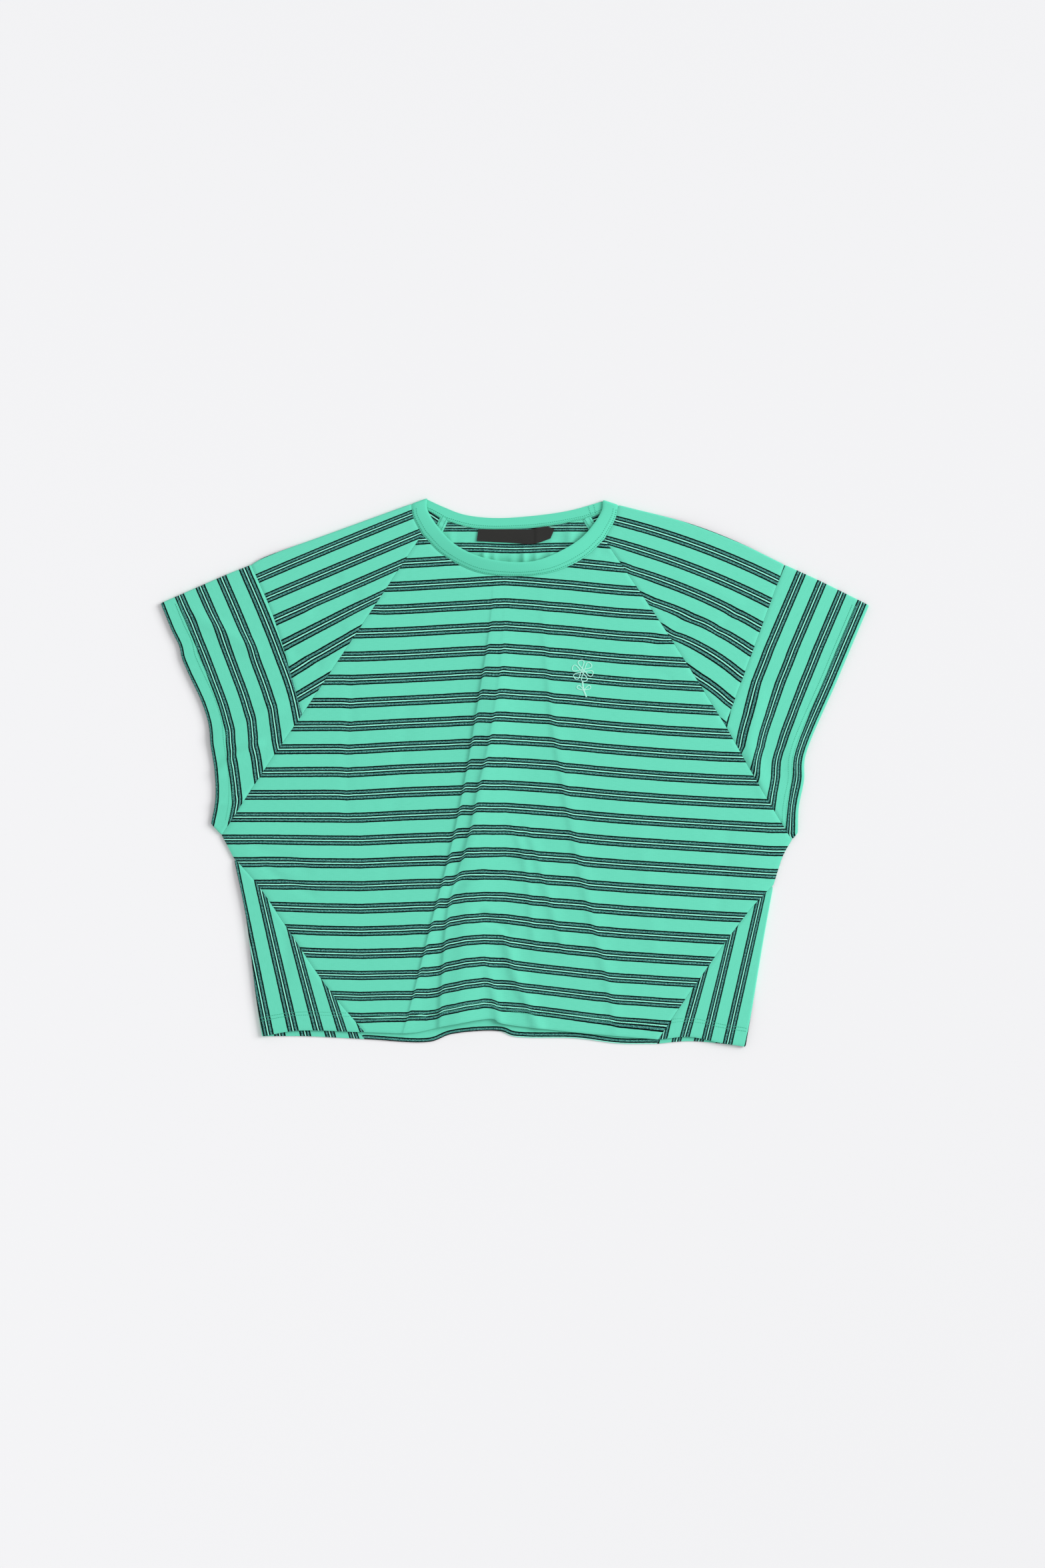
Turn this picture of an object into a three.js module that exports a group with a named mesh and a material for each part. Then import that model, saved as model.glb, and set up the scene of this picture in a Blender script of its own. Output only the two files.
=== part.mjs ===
// A short, wide raglan T-shirt that lies flat on its back, with the front layer on top of the back layer.
import * as THREE from 'three';

// Driving dimensions, in millimetres. X runs across the garment, Y towards the neck and Z up.
const clothThickness = 1.2;
const hemThickness = 1.6;
const ribThickness = 1.8;
const labelThickness = 1;
const bodyHemDepth = 21;
const cuffHemDepth = 16;
const seamGap = 0.3;
const layGap = 0.5;
const frontTop = 4;
const neckLift = 3;
const sideSeamReach = 14;
const labelFoldLift = 0.5;

// How finely the lines and the walls are divided.
const spanSteps = 16;
const measureSteps = 60;
const steps = {
  neckEnd: 5, frontNeck: 32, backNeck: 16, rib: 3, raglan: 9, armSeam: 6, sideSeam: 2, gore: 9,
  band: 8, goreWidth: 4, roll: 5, label: 8, labelHeight: 2,
};

// The rows of a shoulder's top fold where its seams and its cuff are.
const foldRow = { neckTip: 0, neckSeam: 1, bandSeam: 4, cuff: 6 };

// A gore's point is cut short by these shares of the first step of its seam and of its fold.
const goreCut = { seam: 0.25, fold: 0.12 };

const colours = { jersey: 0x6fdcbc, rib: 0x66dab9, label: 0x353532 };

// Rows of x and y, in the order in which the line passes through them.
const line = (...rows) => rows.map(([x, y]) => new THREE.Vector3(x, y, 0));

// The outline and the seams of each side. A fold edge is where the cloth turns from the front to the back.
const sides = {
  left: {
    topFold: line([-85.5, 267.3], [-100.8, 261.8], [-185.6, 231], [-245.4, 209.1], [-257.1, 202.6],
      [-278.9, 193.7], [-345.2, 164.9]),
    neckEnd: line([-100.8, 261.8], [-99.4, 250], [-90.4, 231.9]),
    backNeckEnd: line([-100.8, 261.8], [-84.4, 255], [-70, 246.3]),
    raglan: line([-90.4, 231.9], [-150.5, 141.5], [-207.3, 56.4]),
    backRaglan: line([-70, 246.3], [-140, 150], [-207.3, 56.4]),
    bandSeam: line([-257.1, 202.6], [-235.6, 152.6], [-207.3, 56.4]),
    armSeam: line([-207.3, 56.4], [-248.6, -4.1], [-285.7, -61.3]),
    cuff: line([-345.2, 164.9], [-326, 121.4], [-314.5, 83.9], [-299, 46.6], [-292.8, 1.1], [-291.7, -28.1],
      [-296.1, -50.2]),
    sideSeam: line([-285.7, -61.3], [-280.2, -71.4], [-274, -83.4]),
    sideFold: line([-274, -83.4], [-262.5, -138.6], [-252.2, -219.6], [-246.3, -257.3]),
    goreSeam: line([-274, -83.4], [-254.3, -104.6], [-182.8, -209.2], [-146.6, -253]),
    backGoreSeam: line([-274, -83.4], [-254.3, -106], [-182.8, -212], [-146.6, -259.8]),
    goreHem: line([-246.3, -257.3], [-213.8, -251.7], [-146.6, -253]),
    backGoreHem: line([-246.3, -257.3], [-205, -257], [-146.6, -259.8]),
  },
  right: {
    topFold: line([86.1, 265.7], [101.1, 260.8], [167.4, 243.6], [213.8, 226.2], [262.9, 202.6],
      [297.4, 186.7], [345.2, 163]),
    neckEnd: line([101.1, 260.8], [98.4, 248], [87.4, 227.3]),
    backNeckEnd: line([101.1, 260.8], [84, 252.5], [71, 247.3]),
    raglan: line([87.4, 227.3], [147.9, 137], [205.1, 46]),
    backRaglan: line([71, 247.3], [140, 148], [205.1, 46]),
    bandSeam: line([262.9, 202.6], [231.1, 116.2], [205.1, 46]),
    armSeam: line([205.1, 46], [238.9, -13.8], [270.1, -65.8]),
    cuff: line([345.2, 163], [314.3, 90.2], [282.9, 14.8], [281.8, -7.3], [278.5, -34], [275.7, -59.3]),
    sideSeam: line([270.1, -65.8], [262, -80], [252.2, -109.4]),
    sideFold: line([252.2, -109.4], [243, -159.4], [231.7, -227.7], [224.9, -267.3]),
    goreSeam: line([252.2, -109.4], [228.5, -134.6], [164.1, -223.8], [139.8, -260.2]),
    backGoreSeam: line([252.2, -109.4], [228.5, -136], [164.1, -226], [138.5, -264.4]),
    goreHem: line([224.9, -267.3], [200.1, -263.4], [170, -257.6], [139.8, -260.2]),
    backGoreHem: line([224.9, -267.3], [199.9, -264.1], [170, -261.8], [138.5, -264.4]),
  },
};

// The lines that run across the middle, from left to right.
const frontNeck = line([-90.4, 231.9], [-70.7, 212.4], [-37.5, 195.2], [-0.2, 191.1], [37.1, 195.2],
  [68.2, 209.6], [87.4, 227.3]);
const backNeck = line([-70, 246.3], [-41.7, 238.4], [-4.4, 237.2], [29.8, 239.7], [71, 247.3]);
const frontRibEdge = line([-85.5, 267.3], [-85.2, 256.3], [-62.4, 225.6], [-37.5, 211.5], [-8.5, 205.3],
  [17.9, 205.7], [42.2, 214.4], [67.1, 230.6], [84.8, 255.5], [86.1, 265.7]);
const backRibEdge = line([-85.5, 267.3], [-70.7, 259.2], [-49.9, 251.4], [-20.9, 248], [17.9, 250.1],
  [54.6, 255.5], [86.1, 265.7]);
const frontHem = line([-146.6, -253], [-99.8, -253.7], [-65.3, -246.5], [-20.1, -240.4], [-15.3, -243.7],
  [43.9, -251.6], [108.9, -257.6], [139.8, -260.2]);
const backHem = line([-146.6, -259.8], [-82.2, -262.3], [-62, -255], [-14.6, -252.1], [-1, -257.1],
  [60, -259], [101.6, -264.1], [138.5, -264.4]);
const labelEdges = {
  top: line([-35.6, 236.4], [0, 236.2], [37.5, 236.4]),
  bottom: line([-37.2, 225.2], [19.2, 223], [34.8, 228]),
  foldX: 20,
};

// Folds that stand up from the front layer, or sink into it where the height is negative. Each runs
// straight from its start to its end, and fades in and out over endFade of its length.
const endFade = 0.2;
const foldColumns = ['startX', 'startY', 'endX', 'endY', 'halfWidth', 'height'];
const folds = [
  [-13, 175, -60, -320, 16, 3.6],
  [-27, 120, -88, -310, 9, 1.4],
  [39, 115, 89, -195, 10, 1.4],
  [15, -40, 41, -180, 9, 1.2],
  [-18, -115, 40, -300, 12, 2.2],
  [-23, -150, -13, -300, 8, -0.9],
  [-54, -111, 11, -82, 8, 1],
  [-158, 110, -162, -60, 8, -0.6],
  [-307, 45, -216, 47, 10, 1.4],
  [-296, -9, -238, 20, 8, 1.2],
  [-305, 142, -240, 110, 9, 1.2],
  [245, 92, 252, -30, 10, 1.6],
  [170, 150, 137, 92, 9, -0.6],
  [-150, 148, -218, 178, 8, 1],
  [-262, -82, -185, -113, 8, 0.9],
].map((row) => Object.fromEntries(foldColumns.map((column, i) => [column, row[i]])));

// Places along a smooth line through its rows, at even lengths between the rows numbered from and to.
function walk(rows, stepCount, from = 0, to = rows.length - 1) {
  const curve = new THREE.CatmullRomCurve3(rows, false, 'centripetal');
  const points = curve.getPoints((rows.length - 1) * spanSteps).slice(from * spanSteps, to * spanSteps + 1);
  const reach = [0];
  for (let i = 1; i < points.length; i += 1) {
    reach.push(reach[i - 1] + points[i].distanceTo(points[i - 1]));
  }
  const stops = [];
  let k = 1;
  for (let step = 0; step <= stepCount; step += 1) {
    const target = (reach[reach.length - 1] * step) / stepCount;
    while (k < points.length - 1 && reach[k] < target) {
      k += 1;
    }
    const share = (target - reach[k - 1]) / (reach[k] - reach[k - 1]);
    stops.push(points[k - 1].clone().lerp(points[k], share));
  }
  return stops;
}

function distanceTo(points, x, y) {
  return Math.min(...points.map((point) => Math.hypot(point.x - x, point.y - y)));
}

const sideSeamPoints = [sides.left, sides.right].flatMap((side) => walk(side.sideSeam, measureSteps));
const bodyHemPoints = [
  ...walk(frontHem, measureSteps), ...walk(sides.left.goreHem, measureSteps),
  ...walk(sides.right.goreHem, measureSteps),
];
const cuffPoints = [sides.left, sides.right].flatMap((side) => walk(side.cuff, measureSteps));

function foldHeight(fold, x, y) {
  const alongX = fold.endX - fold.startX;
  const alongY = fold.endY - fold.startY;
  const length = Math.hypot(alongX, alongY);
  const share = ((x - fold.startX) * alongX + (y - fold.startY) * alongY) / length ** 2;
  const aside = ((x - fold.startX) * alongY - (y - fold.startY) * alongX) / length;
  const { smoothstep } = THREE.MathUtils;
  const fade = smoothstep(share, 0, endFade) * smoothstep(1 - share, 0, endFade);
  return fold.height * fade * Math.exp(-((aside / fold.halfWidth) ** 2));
}

// Height of the front layer's outer face. It drops where the front is sewn straight to the back.
const seamedTop = 2 * clothThickness + layGap;
function topAt(x, y) {
  const lay = folds.reduce((sum, fold) => sum + foldHeight(fold, x, y), frontTop);
  const nearSeam = Math.exp(-((distanceTo(sideSeamPoints, x, y) / sideSeamReach) ** 2));
  return lay + (seamedTop - lay) * nearSeam;
}

// Thickness of the wall, thicker in a hem, and never so thick that the two layers would meet.
function wallAt(x, y, thickness) {
  const inHem = distanceTo(bodyHemPoints, x, y) < bodyHemDepth || distanceTo(cuffPoints, x, y) < cuffHemDepth;
  return Math.min(inHem ? Math.max(hemThickness, thickness) : thickness, (topAt(x, y) - layGap) / 2);
}

// One place on a wall: its outer face's point, the way out from it, and the wall's thickness there.
function frontPlace(point, thickness = clothThickness, lift = 0) {
  const outer = new THREE.Vector3(point.x, point.y, topAt(point.x, point.y) + lift);
  return { outer, out: new THREE.Vector3(0, 0, 1), wall: wallAt(point.x, point.y, thickness) };
}

function backPlace(point, thickness = clothThickness) {
  const outer = new THREE.Vector3(point.x, point.y, 0);
  return { outer, out: new THREE.Vector3(0, 0, -1), wall: wallAt(point.x, point.y, thickness) };
}

// A folded edge: its stops on the outline, the way in from each, and where its roll meets the front.
function foldEdge(rows, stepCount, from, to, startWay, endWay) {
  return walk(rows, stepCount, from, to).map((stop, i) => {
    const way = startWay.clone().lerp(endWay, i / stepCount).normalize();
    const radius = topAt(stop.x, stop.y) / 2;
    return { stop, way, radius, inner: stop.clone().addScaledVector(way, radius) };
  });
}

// The places round a fold at one of its stops, between the front and the back.
function rollPlaces(edge, thickness = clothThickness) {
  const places = [];
  for (let step = 1; step < steps.roll; step += 1) {
    const turn = (Math.PI * step) / steps.roll;
    const outer = edge.stop.clone().addScaledVector(edge.way, edge.radius * (1 - Math.sin(turn)));
    outer.z = edge.radius * (1 + Math.cos(turn));
    const out = edge.way.clone().multiplyScalar(-Math.sin(turn));
    out.z = Math.cos(turn);
    places.push({ outer, out, wall: wallAt(edge.stop.x, edge.stop.y, thickness) });
  }
  return places;
}

// Fills the space between four lines with a grid of points, as rows from the top line to the bottom one.
function fill(top, bottom, left, right) {
  const rowCount = left.length - 1;
  const columnCount = top.length - 1;
  return left.map((leftPoint, i) => top.map((topPoint, j) => {
    const v = i / rowCount;
    const u = j / columnCount;
    const across = topPoint.clone().lerp(bottom[j], v);
    const down = leftPoint.clone().lerp(right[i], u);
    const corners = top[0].clone().lerp(top[columnCount], u)
      .lerp(bottom[0].clone().lerp(bottom[columnCount], u), v);
    return across.add(down).sub(corners);
  }));
}

const wayBetween = (from, to) => to.clone().sub(from).normalize();
const transpose = (grid) => grid[0].map((_, j) => grid.map((row) => row[j]));

// Moves the seamed edges of a grid of places back by half the seam gap, along the cloth.
function insetSeams(grid, seams, ring) {
  const rowCount = grid.length;
  const columnCount = grid[0].length;
  const at = (i, j) => grid[ring ? (i + rowCount) % rowCount : THREE.MathUtils.clamp(i, 0, rowCount - 1)][
    THREE.MathUtils.clamp(j, 0, columnCount - 1)].outer;
  const moves = [];
  const inset = (i, j, innerI, innerJ, alongI, alongJ) => {
    const tangent = at(i + alongI, j + alongJ).clone().sub(at(i - alongI, j - alongJ));
    const aside = tangent.cross(grid[i][j].out).normalize();
    const inwards = Math.sign(aside.dot(at(innerI, innerJ).clone().sub(at(i, j))));
    moves.push([grid[i][j].outer, aside.multiplyScalar((inwards * seamGap) / 2)]);
  };
  for (let i = 0; i < rowCount; i += 1) {
    if (seams.left) inset(i, 0, i, 1, 1, 0);
    if (seams.right) inset(i, columnCount - 1, i, columnCount - 2, 1, 0);
  }
  for (let j = 0; j < columnCount; j += 1) {
    if (seams.top) inset(0, j, 1, j, 0, 1);
    if (seams.bottom) inset(rowCount - 1, j, rowCount - 2, j, 0, 1);
  }
  moves.forEach(([outer, move]) => outer.add(move));
  return grid;
}

// Makes a closed wall from a grid of places. A ring's last row joins its first.
function makeWall(name, colour, grid, seams = {}, ring = false) {
  insetSeams(grid, seams, ring);
  const rowCount = grid.length;
  const columnCount = grid[0].length;
  const places = grid.flat();
  const outers = places.map((place) => place.outer);
  const inners = places.map((place) => place.outer.clone().addScaledVector(place.out, -place.wall));
  const index = (i, j) => (i % rowCount) * columnCount + j;
  const innerStart = places.length;
  const faces = [];
  const lastRow = ring ? rowCount : rowCount - 1;
  for (let i = 0; i < lastRow; i += 1) {
    for (let j = 0; j < columnCount - 1; j += 1) {
      const [a, b, c, d] = [index(i, j), index(i, j + 1), index(i + 1, j + 1), index(i + 1, j)];
      faces.push([a, b, c], [a, c, d]);
      faces.push([a, c, b].map((k) => k + innerStart), [a, d, c].map((k) => k + innerStart));
    }
  }
  const rim = (p, q) => faces.push([q, p, p + innerStart], [q, p + innerStart, q + innerStart]);
  for (let i = 0; i < lastRow; i += 1) {
    rim(index(i + 1, 0), index(i, 0));
    rim(index(i, columnCount - 1), index(i + 1, columnCount - 1));
  }
  for (let j = 0; j < columnCount - 1 && !ring; j += 1) {
    rim(index(0, j), index(0, j + 1));
    rim(index(rowCount - 1, j + 1), index(rowCount - 1, j));
  }
  const points = [...outers, ...inners];
  const volume = faces.reduce((sum, [a, b, c]) => sum + points[a].dot(points[b].clone().cross(points[c])), 0);
  const geometry = new THREE.BufferGeometry().setFromPoints(points);
  geometry.setIndex(faces.flatMap((face) => (volume > 0 ? face : [...face].reverse())));
  geometry.computeVertexNormals();
  const material = new THREE.MeshStandardMaterial({ color: colour, roughness: 0.9, metalness: 0 });
  const mesh = new THREE.Mesh(geometry, material);
  mesh.name = name;
  return mesh;
}

// The folded edges of one side, and the seams that start from them.
function sideEdges(side) {
  const neckWay = wayBetween(side.neckEnd[0], side.neckEnd[1]);
  const bandWay = wayBetween(side.bandSeam[0], side.bandSeam[1]);
  const cuffWay = wayBetween(side.cuff[0], side.cuff[1]);
  const underarm = [side.armSeam.at(-1), side.cuff.at(-1)];
  const underarmWay = wayBetween(side.armSeam.at(-1), side.armSeam.at(-2));
  const cuffEndWay = wayBetween(side.cuff.at(-1), side.cuff.at(-2));
  const goreStart = wayBetween(side.sideFold[0], side.goreSeam[1]);
  const hemWay = wayBetween(side.goreHem[0], side.goreHem[1]);
  const neckFold = foldEdge(side.topFold, steps.rib, foldRow.neckTip, foldRow.neckSeam, neckWay, neckWay);
  const yokeFold = foldEdge(side.topFold, steps.raglan, foldRow.neckSeam, foldRow.bandSeam, neckWay, bandWay);
  const bandFold = foldEdge(side.topFold, steps.band, foldRow.bandSeam, foldRow.cuff, bandWay, cuffWay);
  const underarmFold = foldEdge(underarm, steps.band, 0, 1, underarmWay, cuffEndWay);
  const sideFold = foldEdge(side.sideFold, steps.gore, 0, 3, goreStart, hemWay);
  const from = (edge, rows) => [edge.inner, ...rows.slice(1)];
  return {
    neckFold, yokeFold, bandFold, underarmFold, sideFold,
    neckEnd: walk(from(yokeFold[0], side.neckEnd), steps.neckEnd),
    backNeckEnd: walk(from(yokeFold[0], side.backNeckEnd), steps.neckEnd),
    bandSeam: walk(from(bandFold[0], side.bandSeam), steps.neckEnd),
    raglan: walk(side.raglan, steps.raglan),
    backRaglan: walk(side.backRaglan, steps.raglan),
    armSeam: walk(side.armSeam, steps.armSeam),
  };
}

const edges = { left: sideEdges(sides.left), right: sideEdges(sides.right) };

// The long edge of a body panel, from the neck down the sleeve's seams, the side and the gore to the hem.
function bodyEdge(side, sideLines, raglan, goreSeam) {
  return [
    ...raglan, ...side.armSeam.slice(1), ...walk(sideLines.sideSeam, steps.sideSeam).slice(1),
    ...walk(goreSeam, steps.gore).slice(1),
  ];
}

function makeFrontBody() {
  const left = bodyEdge(edges.left, sides.left, edges.left.raglan, sides.left.goreSeam);
  const right = bodyEdge(edges.right, sides.right, edges.right.raglan, sides.right.goreSeam);
  const points = fill(walk(frontNeck, steps.frontNeck), walk(frontHem, steps.frontNeck), left, right);
  const grid = points.map((row) => row.map((point) => frontPlace(point)));
  return makeWall('front_body', colours.jersey, grid, { top: true, left: true, right: true });
}

function makeBackBody() {
  const left = bodyEdge(edges.left, sides.left, edges.left.backRaglan, sides.left.backGoreSeam);
  const right = bodyEdge(edges.right, sides.right, edges.right.backRaglan, sides.right.backGoreSeam);
  const points = fill(walk(backNeck, steps.backNeck), walk(backHem, steps.backNeck), left, right);
  const grid = points.map((row) => row.map((point) => backPlace(point)));
  return makeWall('back_body', colours.jersey, grid, { top: true, left: true, right: true });
}

// A piece that lies on both sides of a fold edge: front rows up to the fold, its roll, then the back rows.
function foldedColumns(frontPoints, edge, backPoints) {
  const columns = edge.map((stop, j) => [
    ...frontPoints.map((row) => frontPlace(row[j])).reverse(), ...rollPlaces(stop),
    ...backPoints.map((row) => backPlace(row[j])),
  ]);
  return transpose(columns);
}

function makeShoulder(name, side) {
  const inner = side.yokeFold.map((stop) => stop.inner);
  const front = fill(inner, side.raglan, side.neckEnd, side.bandSeam);
  const back = fill(inner, side.backRaglan, side.backNeckEnd, side.bandSeam);
  const grid = foldedColumns(front, side.yokeFold, back);
  return makeWall(name, colours.jersey, grid, { top: true, bottom: true, left: true, right: true });
}

// The band round the arm is a ring, folded along the top of the shoulder and again at the underarm.
function makeSleeveBand(name, side, sideLines) {
  const seamEdge = [...side.bandSeam, ...side.armSeam.slice(1, -1), side.underarmFold[0].inner];
  const cuffRows = [...sideLines.cuff];
  cuffRows[0] = side.bandFold.at(-1).inner;
  cuffRows[cuffRows.length - 1] = side.underarmFold.at(-1).inner;
  const top = side.bandFold.map((stop) => stop.inner);
  const bottom = side.underarmFold.map((stop) => stop.inner);
  const points = fill(top, bottom, seamEdge, walk(cuffRows, seamEdge.length - 1));
  const columns = side.bandFold.map((topStop, j) => [
    ...points.map((row) => frontPlace(row[j])).reverse(), ...rollPlaces(topStop),
    ...points.map((row) => backPlace(row[j])), ...rollPlaces(side.underarmFold[j]).reverse(),
  ]);
  return makeWall(name, colours.jersey, transpose(columns), { left: true }, true);
}

// The gore is a wedge folded down the side of the body. Its point is cut short, where the fold closes it.
function makeGore(name, side, sideLines) {
  const cutShort = (rows) => {
    const seam = walk(rows, steps.gore);
    return [seam[0].lerp(seam[1], goreCut.seam), ...seam.slice(1)];
  };
  const start = sideLines.sideFold[0].clone().lerp(sideLines.sideFold[1], goreCut.fold);
  const ways = [side.sideFold[0].way, side.sideFold.at(-1).way];
  const fold = foldEdge([start, ...sideLines.sideFold.slice(1)], steps.gore, 0, 3, ...ways);
  const inner = fold.map((stop) => stop.inner);
  const layer = (seam, hemRows) => {
    const top = walk([inner[0], seam[0]], steps.goreWidth);
    const bottom = walk([inner.at(-1), ...hemRows.slice(1)], steps.goreWidth);
    return transpose(fill(top, bottom, inner, seam));
  };
  const front = layer(cutShort(sideLines.goreSeam), sideLines.goreHem);
  const back = layer(cutShort(sideLines.backGoreSeam), sideLines.backGoreHem);
  const grid = foldedColumns(front, fold, back);
  return makeWall(name, colours.jersey, grid, { top: true, bottom: true, left: true });
}

// The neckband is one loop of rib, folded at the two ends of the neck. Its free edge stands up in front.
function makeNeckband() {
  const across = (seam, edge) => Array.from({ length: steps.rib + 1 }, (_, k) => (
    edge.clone().lerp(seam, k / steps.rib)));
  const tips = [edges.left.neckFold[0].inner, edges.right.neckFold[0].inner];
  const seamLine = (leftEnd, middle, rightEnd) => [
    ...leftEnd.slice(0, -1), ...middle, ...[...rightEnd].reverse().slice(1)];
  const frontSeam = seamLine(edges.left.neckEnd, walk(frontNeck, steps.frontNeck), edges.right.neckEnd);
  const backSeam = seamLine(edges.left.backNeckEnd, walk(backNeck, steps.backNeck), edges.right.backNeckEnd);
  const freeEdge = (rows, count) => walk([tips[0], ...rows.slice(1, -1), tips[1]], count);
  const frontEdge = freeEdge(frontRibEdge, frontSeam.length - 1);
  const backEdge = freeEdge(backRibEdge, backSeam.length - 1);
  const front = frontSeam.map((seam, i) => across(seam, frontEdge[i]).map((point, k) => {
    const arch = Math.sin((Math.PI * i) / (frontSeam.length - 1)) * (1 - k / steps.rib);
    return frontPlace(point, ribThickness, neckLift * arch);
  }));
  const back = backSeam.map((seam, i) => (
    across(seam, backEdge[i]).map((point) => backPlace(point, ribThickness))));
  const rolls = (side) => transpose(side.neckFold.map((stop) => rollPlaces(stop, ribThickness)));
  const grid = [...front, ...rolls(edges.right), ...back.reverse(), ...rolls(edges.left).reverse()];
  return makeWall('neckband', colours.rib, grid, { right: true }, true);
}

// The label lies on the back panel inside the neck. Its right end is folded over on itself.
function makeLabel() {
  const top = walk(labelEdges.top, steps.label);
  const bottom = walk(labelEdges.bottom, steps.label);
  const side = (j) => walk([top[j], bottom[j]], steps.labelHeight);
  const floor = clothThickness + seamGap;
  const grid = fill(top, bottom, side(0), side(steps.label)).map((row) => row.map((point) => {
    const wall = labelThickness + (point.x > labelEdges.foldX ? labelFoldLift : 0);
    const outer = new THREE.Vector3(point.x, point.y, floor + wall);
    return { outer, out: new THREE.Vector3(0, 0, 1), wall };
  }));
  return makeWall('neck_label', colours.label, grid);
}

const garment = new THREE.Group();
garment.add(makeBackBody(), makeFrontBody(), makeNeckband(), makeLabel());
for (const [name, side] of Object.entries(edges)) {
  garment.add(makeShoulder(`${name}_shoulder`, side));
  garment.add(makeSleeveBand(`${name}_sleeve_band`, side, sides[name]));
  garment.add(makeGore(`${name}_gore`, side, sides[name]));
}

export default garment;
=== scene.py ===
import math
import bpy
import numpy as np
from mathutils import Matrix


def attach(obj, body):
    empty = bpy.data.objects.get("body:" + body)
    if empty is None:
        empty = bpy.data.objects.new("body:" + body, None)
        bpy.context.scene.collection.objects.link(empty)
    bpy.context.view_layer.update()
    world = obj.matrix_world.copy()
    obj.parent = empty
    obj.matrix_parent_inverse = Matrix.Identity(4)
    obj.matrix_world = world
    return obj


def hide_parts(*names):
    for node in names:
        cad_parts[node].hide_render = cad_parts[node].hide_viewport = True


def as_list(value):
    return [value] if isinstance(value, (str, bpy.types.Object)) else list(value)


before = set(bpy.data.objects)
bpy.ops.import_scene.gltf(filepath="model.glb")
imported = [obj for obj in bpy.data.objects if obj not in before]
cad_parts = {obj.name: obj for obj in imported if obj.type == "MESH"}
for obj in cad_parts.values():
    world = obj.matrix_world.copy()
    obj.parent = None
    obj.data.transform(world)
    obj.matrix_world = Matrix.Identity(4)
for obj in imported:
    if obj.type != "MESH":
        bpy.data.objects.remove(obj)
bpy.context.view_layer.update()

print("frame loaded:", len(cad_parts), "pieces")

# Lengths are in millimetres until a mesh is made. X runs across the garment, Y to the neck, Z up.
millimetre = 0.001
spanSteps = 24

photo = {
    "width": 1568, "height": 2352,
    "scale": 0.65,                 # millimetres to a pixel
    "originX": 772.5, "originY": 1158.7,   # the pixel over the garment's origin
    "lens": 100, "sensor": 36,
}


def setCamera():
    longSide = photo["height"] * photo["scale"] * millimetre
    camera = bpy.data.objects.new("camera", bpy.data.cameras.new("camera"))
    camera.data.lens = photo["lens"]
    camera.data.sensor_width = photo["sensor"]
    camera.data.dof.use_dof = False
    camera.location = (
        (photo["width"] / 2 - photo["originX"]) * photo["scale"] * millimetre,
        (photo["originY"] - photo["height"] / 2) * photo["scale"] * millimetre,
        longSide * photo["lens"] / photo["sensor"],
    )
    bpy.context.collection.objects.link(camera)
    bpy.context.scene.camera = camera


setCamera()

studio = {
    "floorSize": 24.0, "floorShade": 0.195,     # how much darker the floor is painted towards the key light
    "keyPlace": (5.0, 1.6, 3.4), "keySize": 3.4, "keyPower": 327,
    "skyStrength": 0.637,
}

# Cloth thicknesses, how the layers lie, and how the edges are rounded.
cloth = {
    "wall": 1.1, "hemWall": 1.5, "ribWall": 1.8, "layGap": 0.5,
    "frontTop": 4.0, "neckLift": 4.6, "sideSeamReach": 14, "seamGap": 0.16,
    "seamedTop": 2.9, "bodyHem": 15.5, "cuffHem": 13.0,
    "seamDip": 0.55, "seamReach": 1.5, "edgeDip": 0.5, "edgeReach": 0.9,
    "foldShare": 0.7,              # width of a folded edge as a share of its height
    "rollSteps": 12,
}


def line(*rows):
    return np.array(rows, float)


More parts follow.
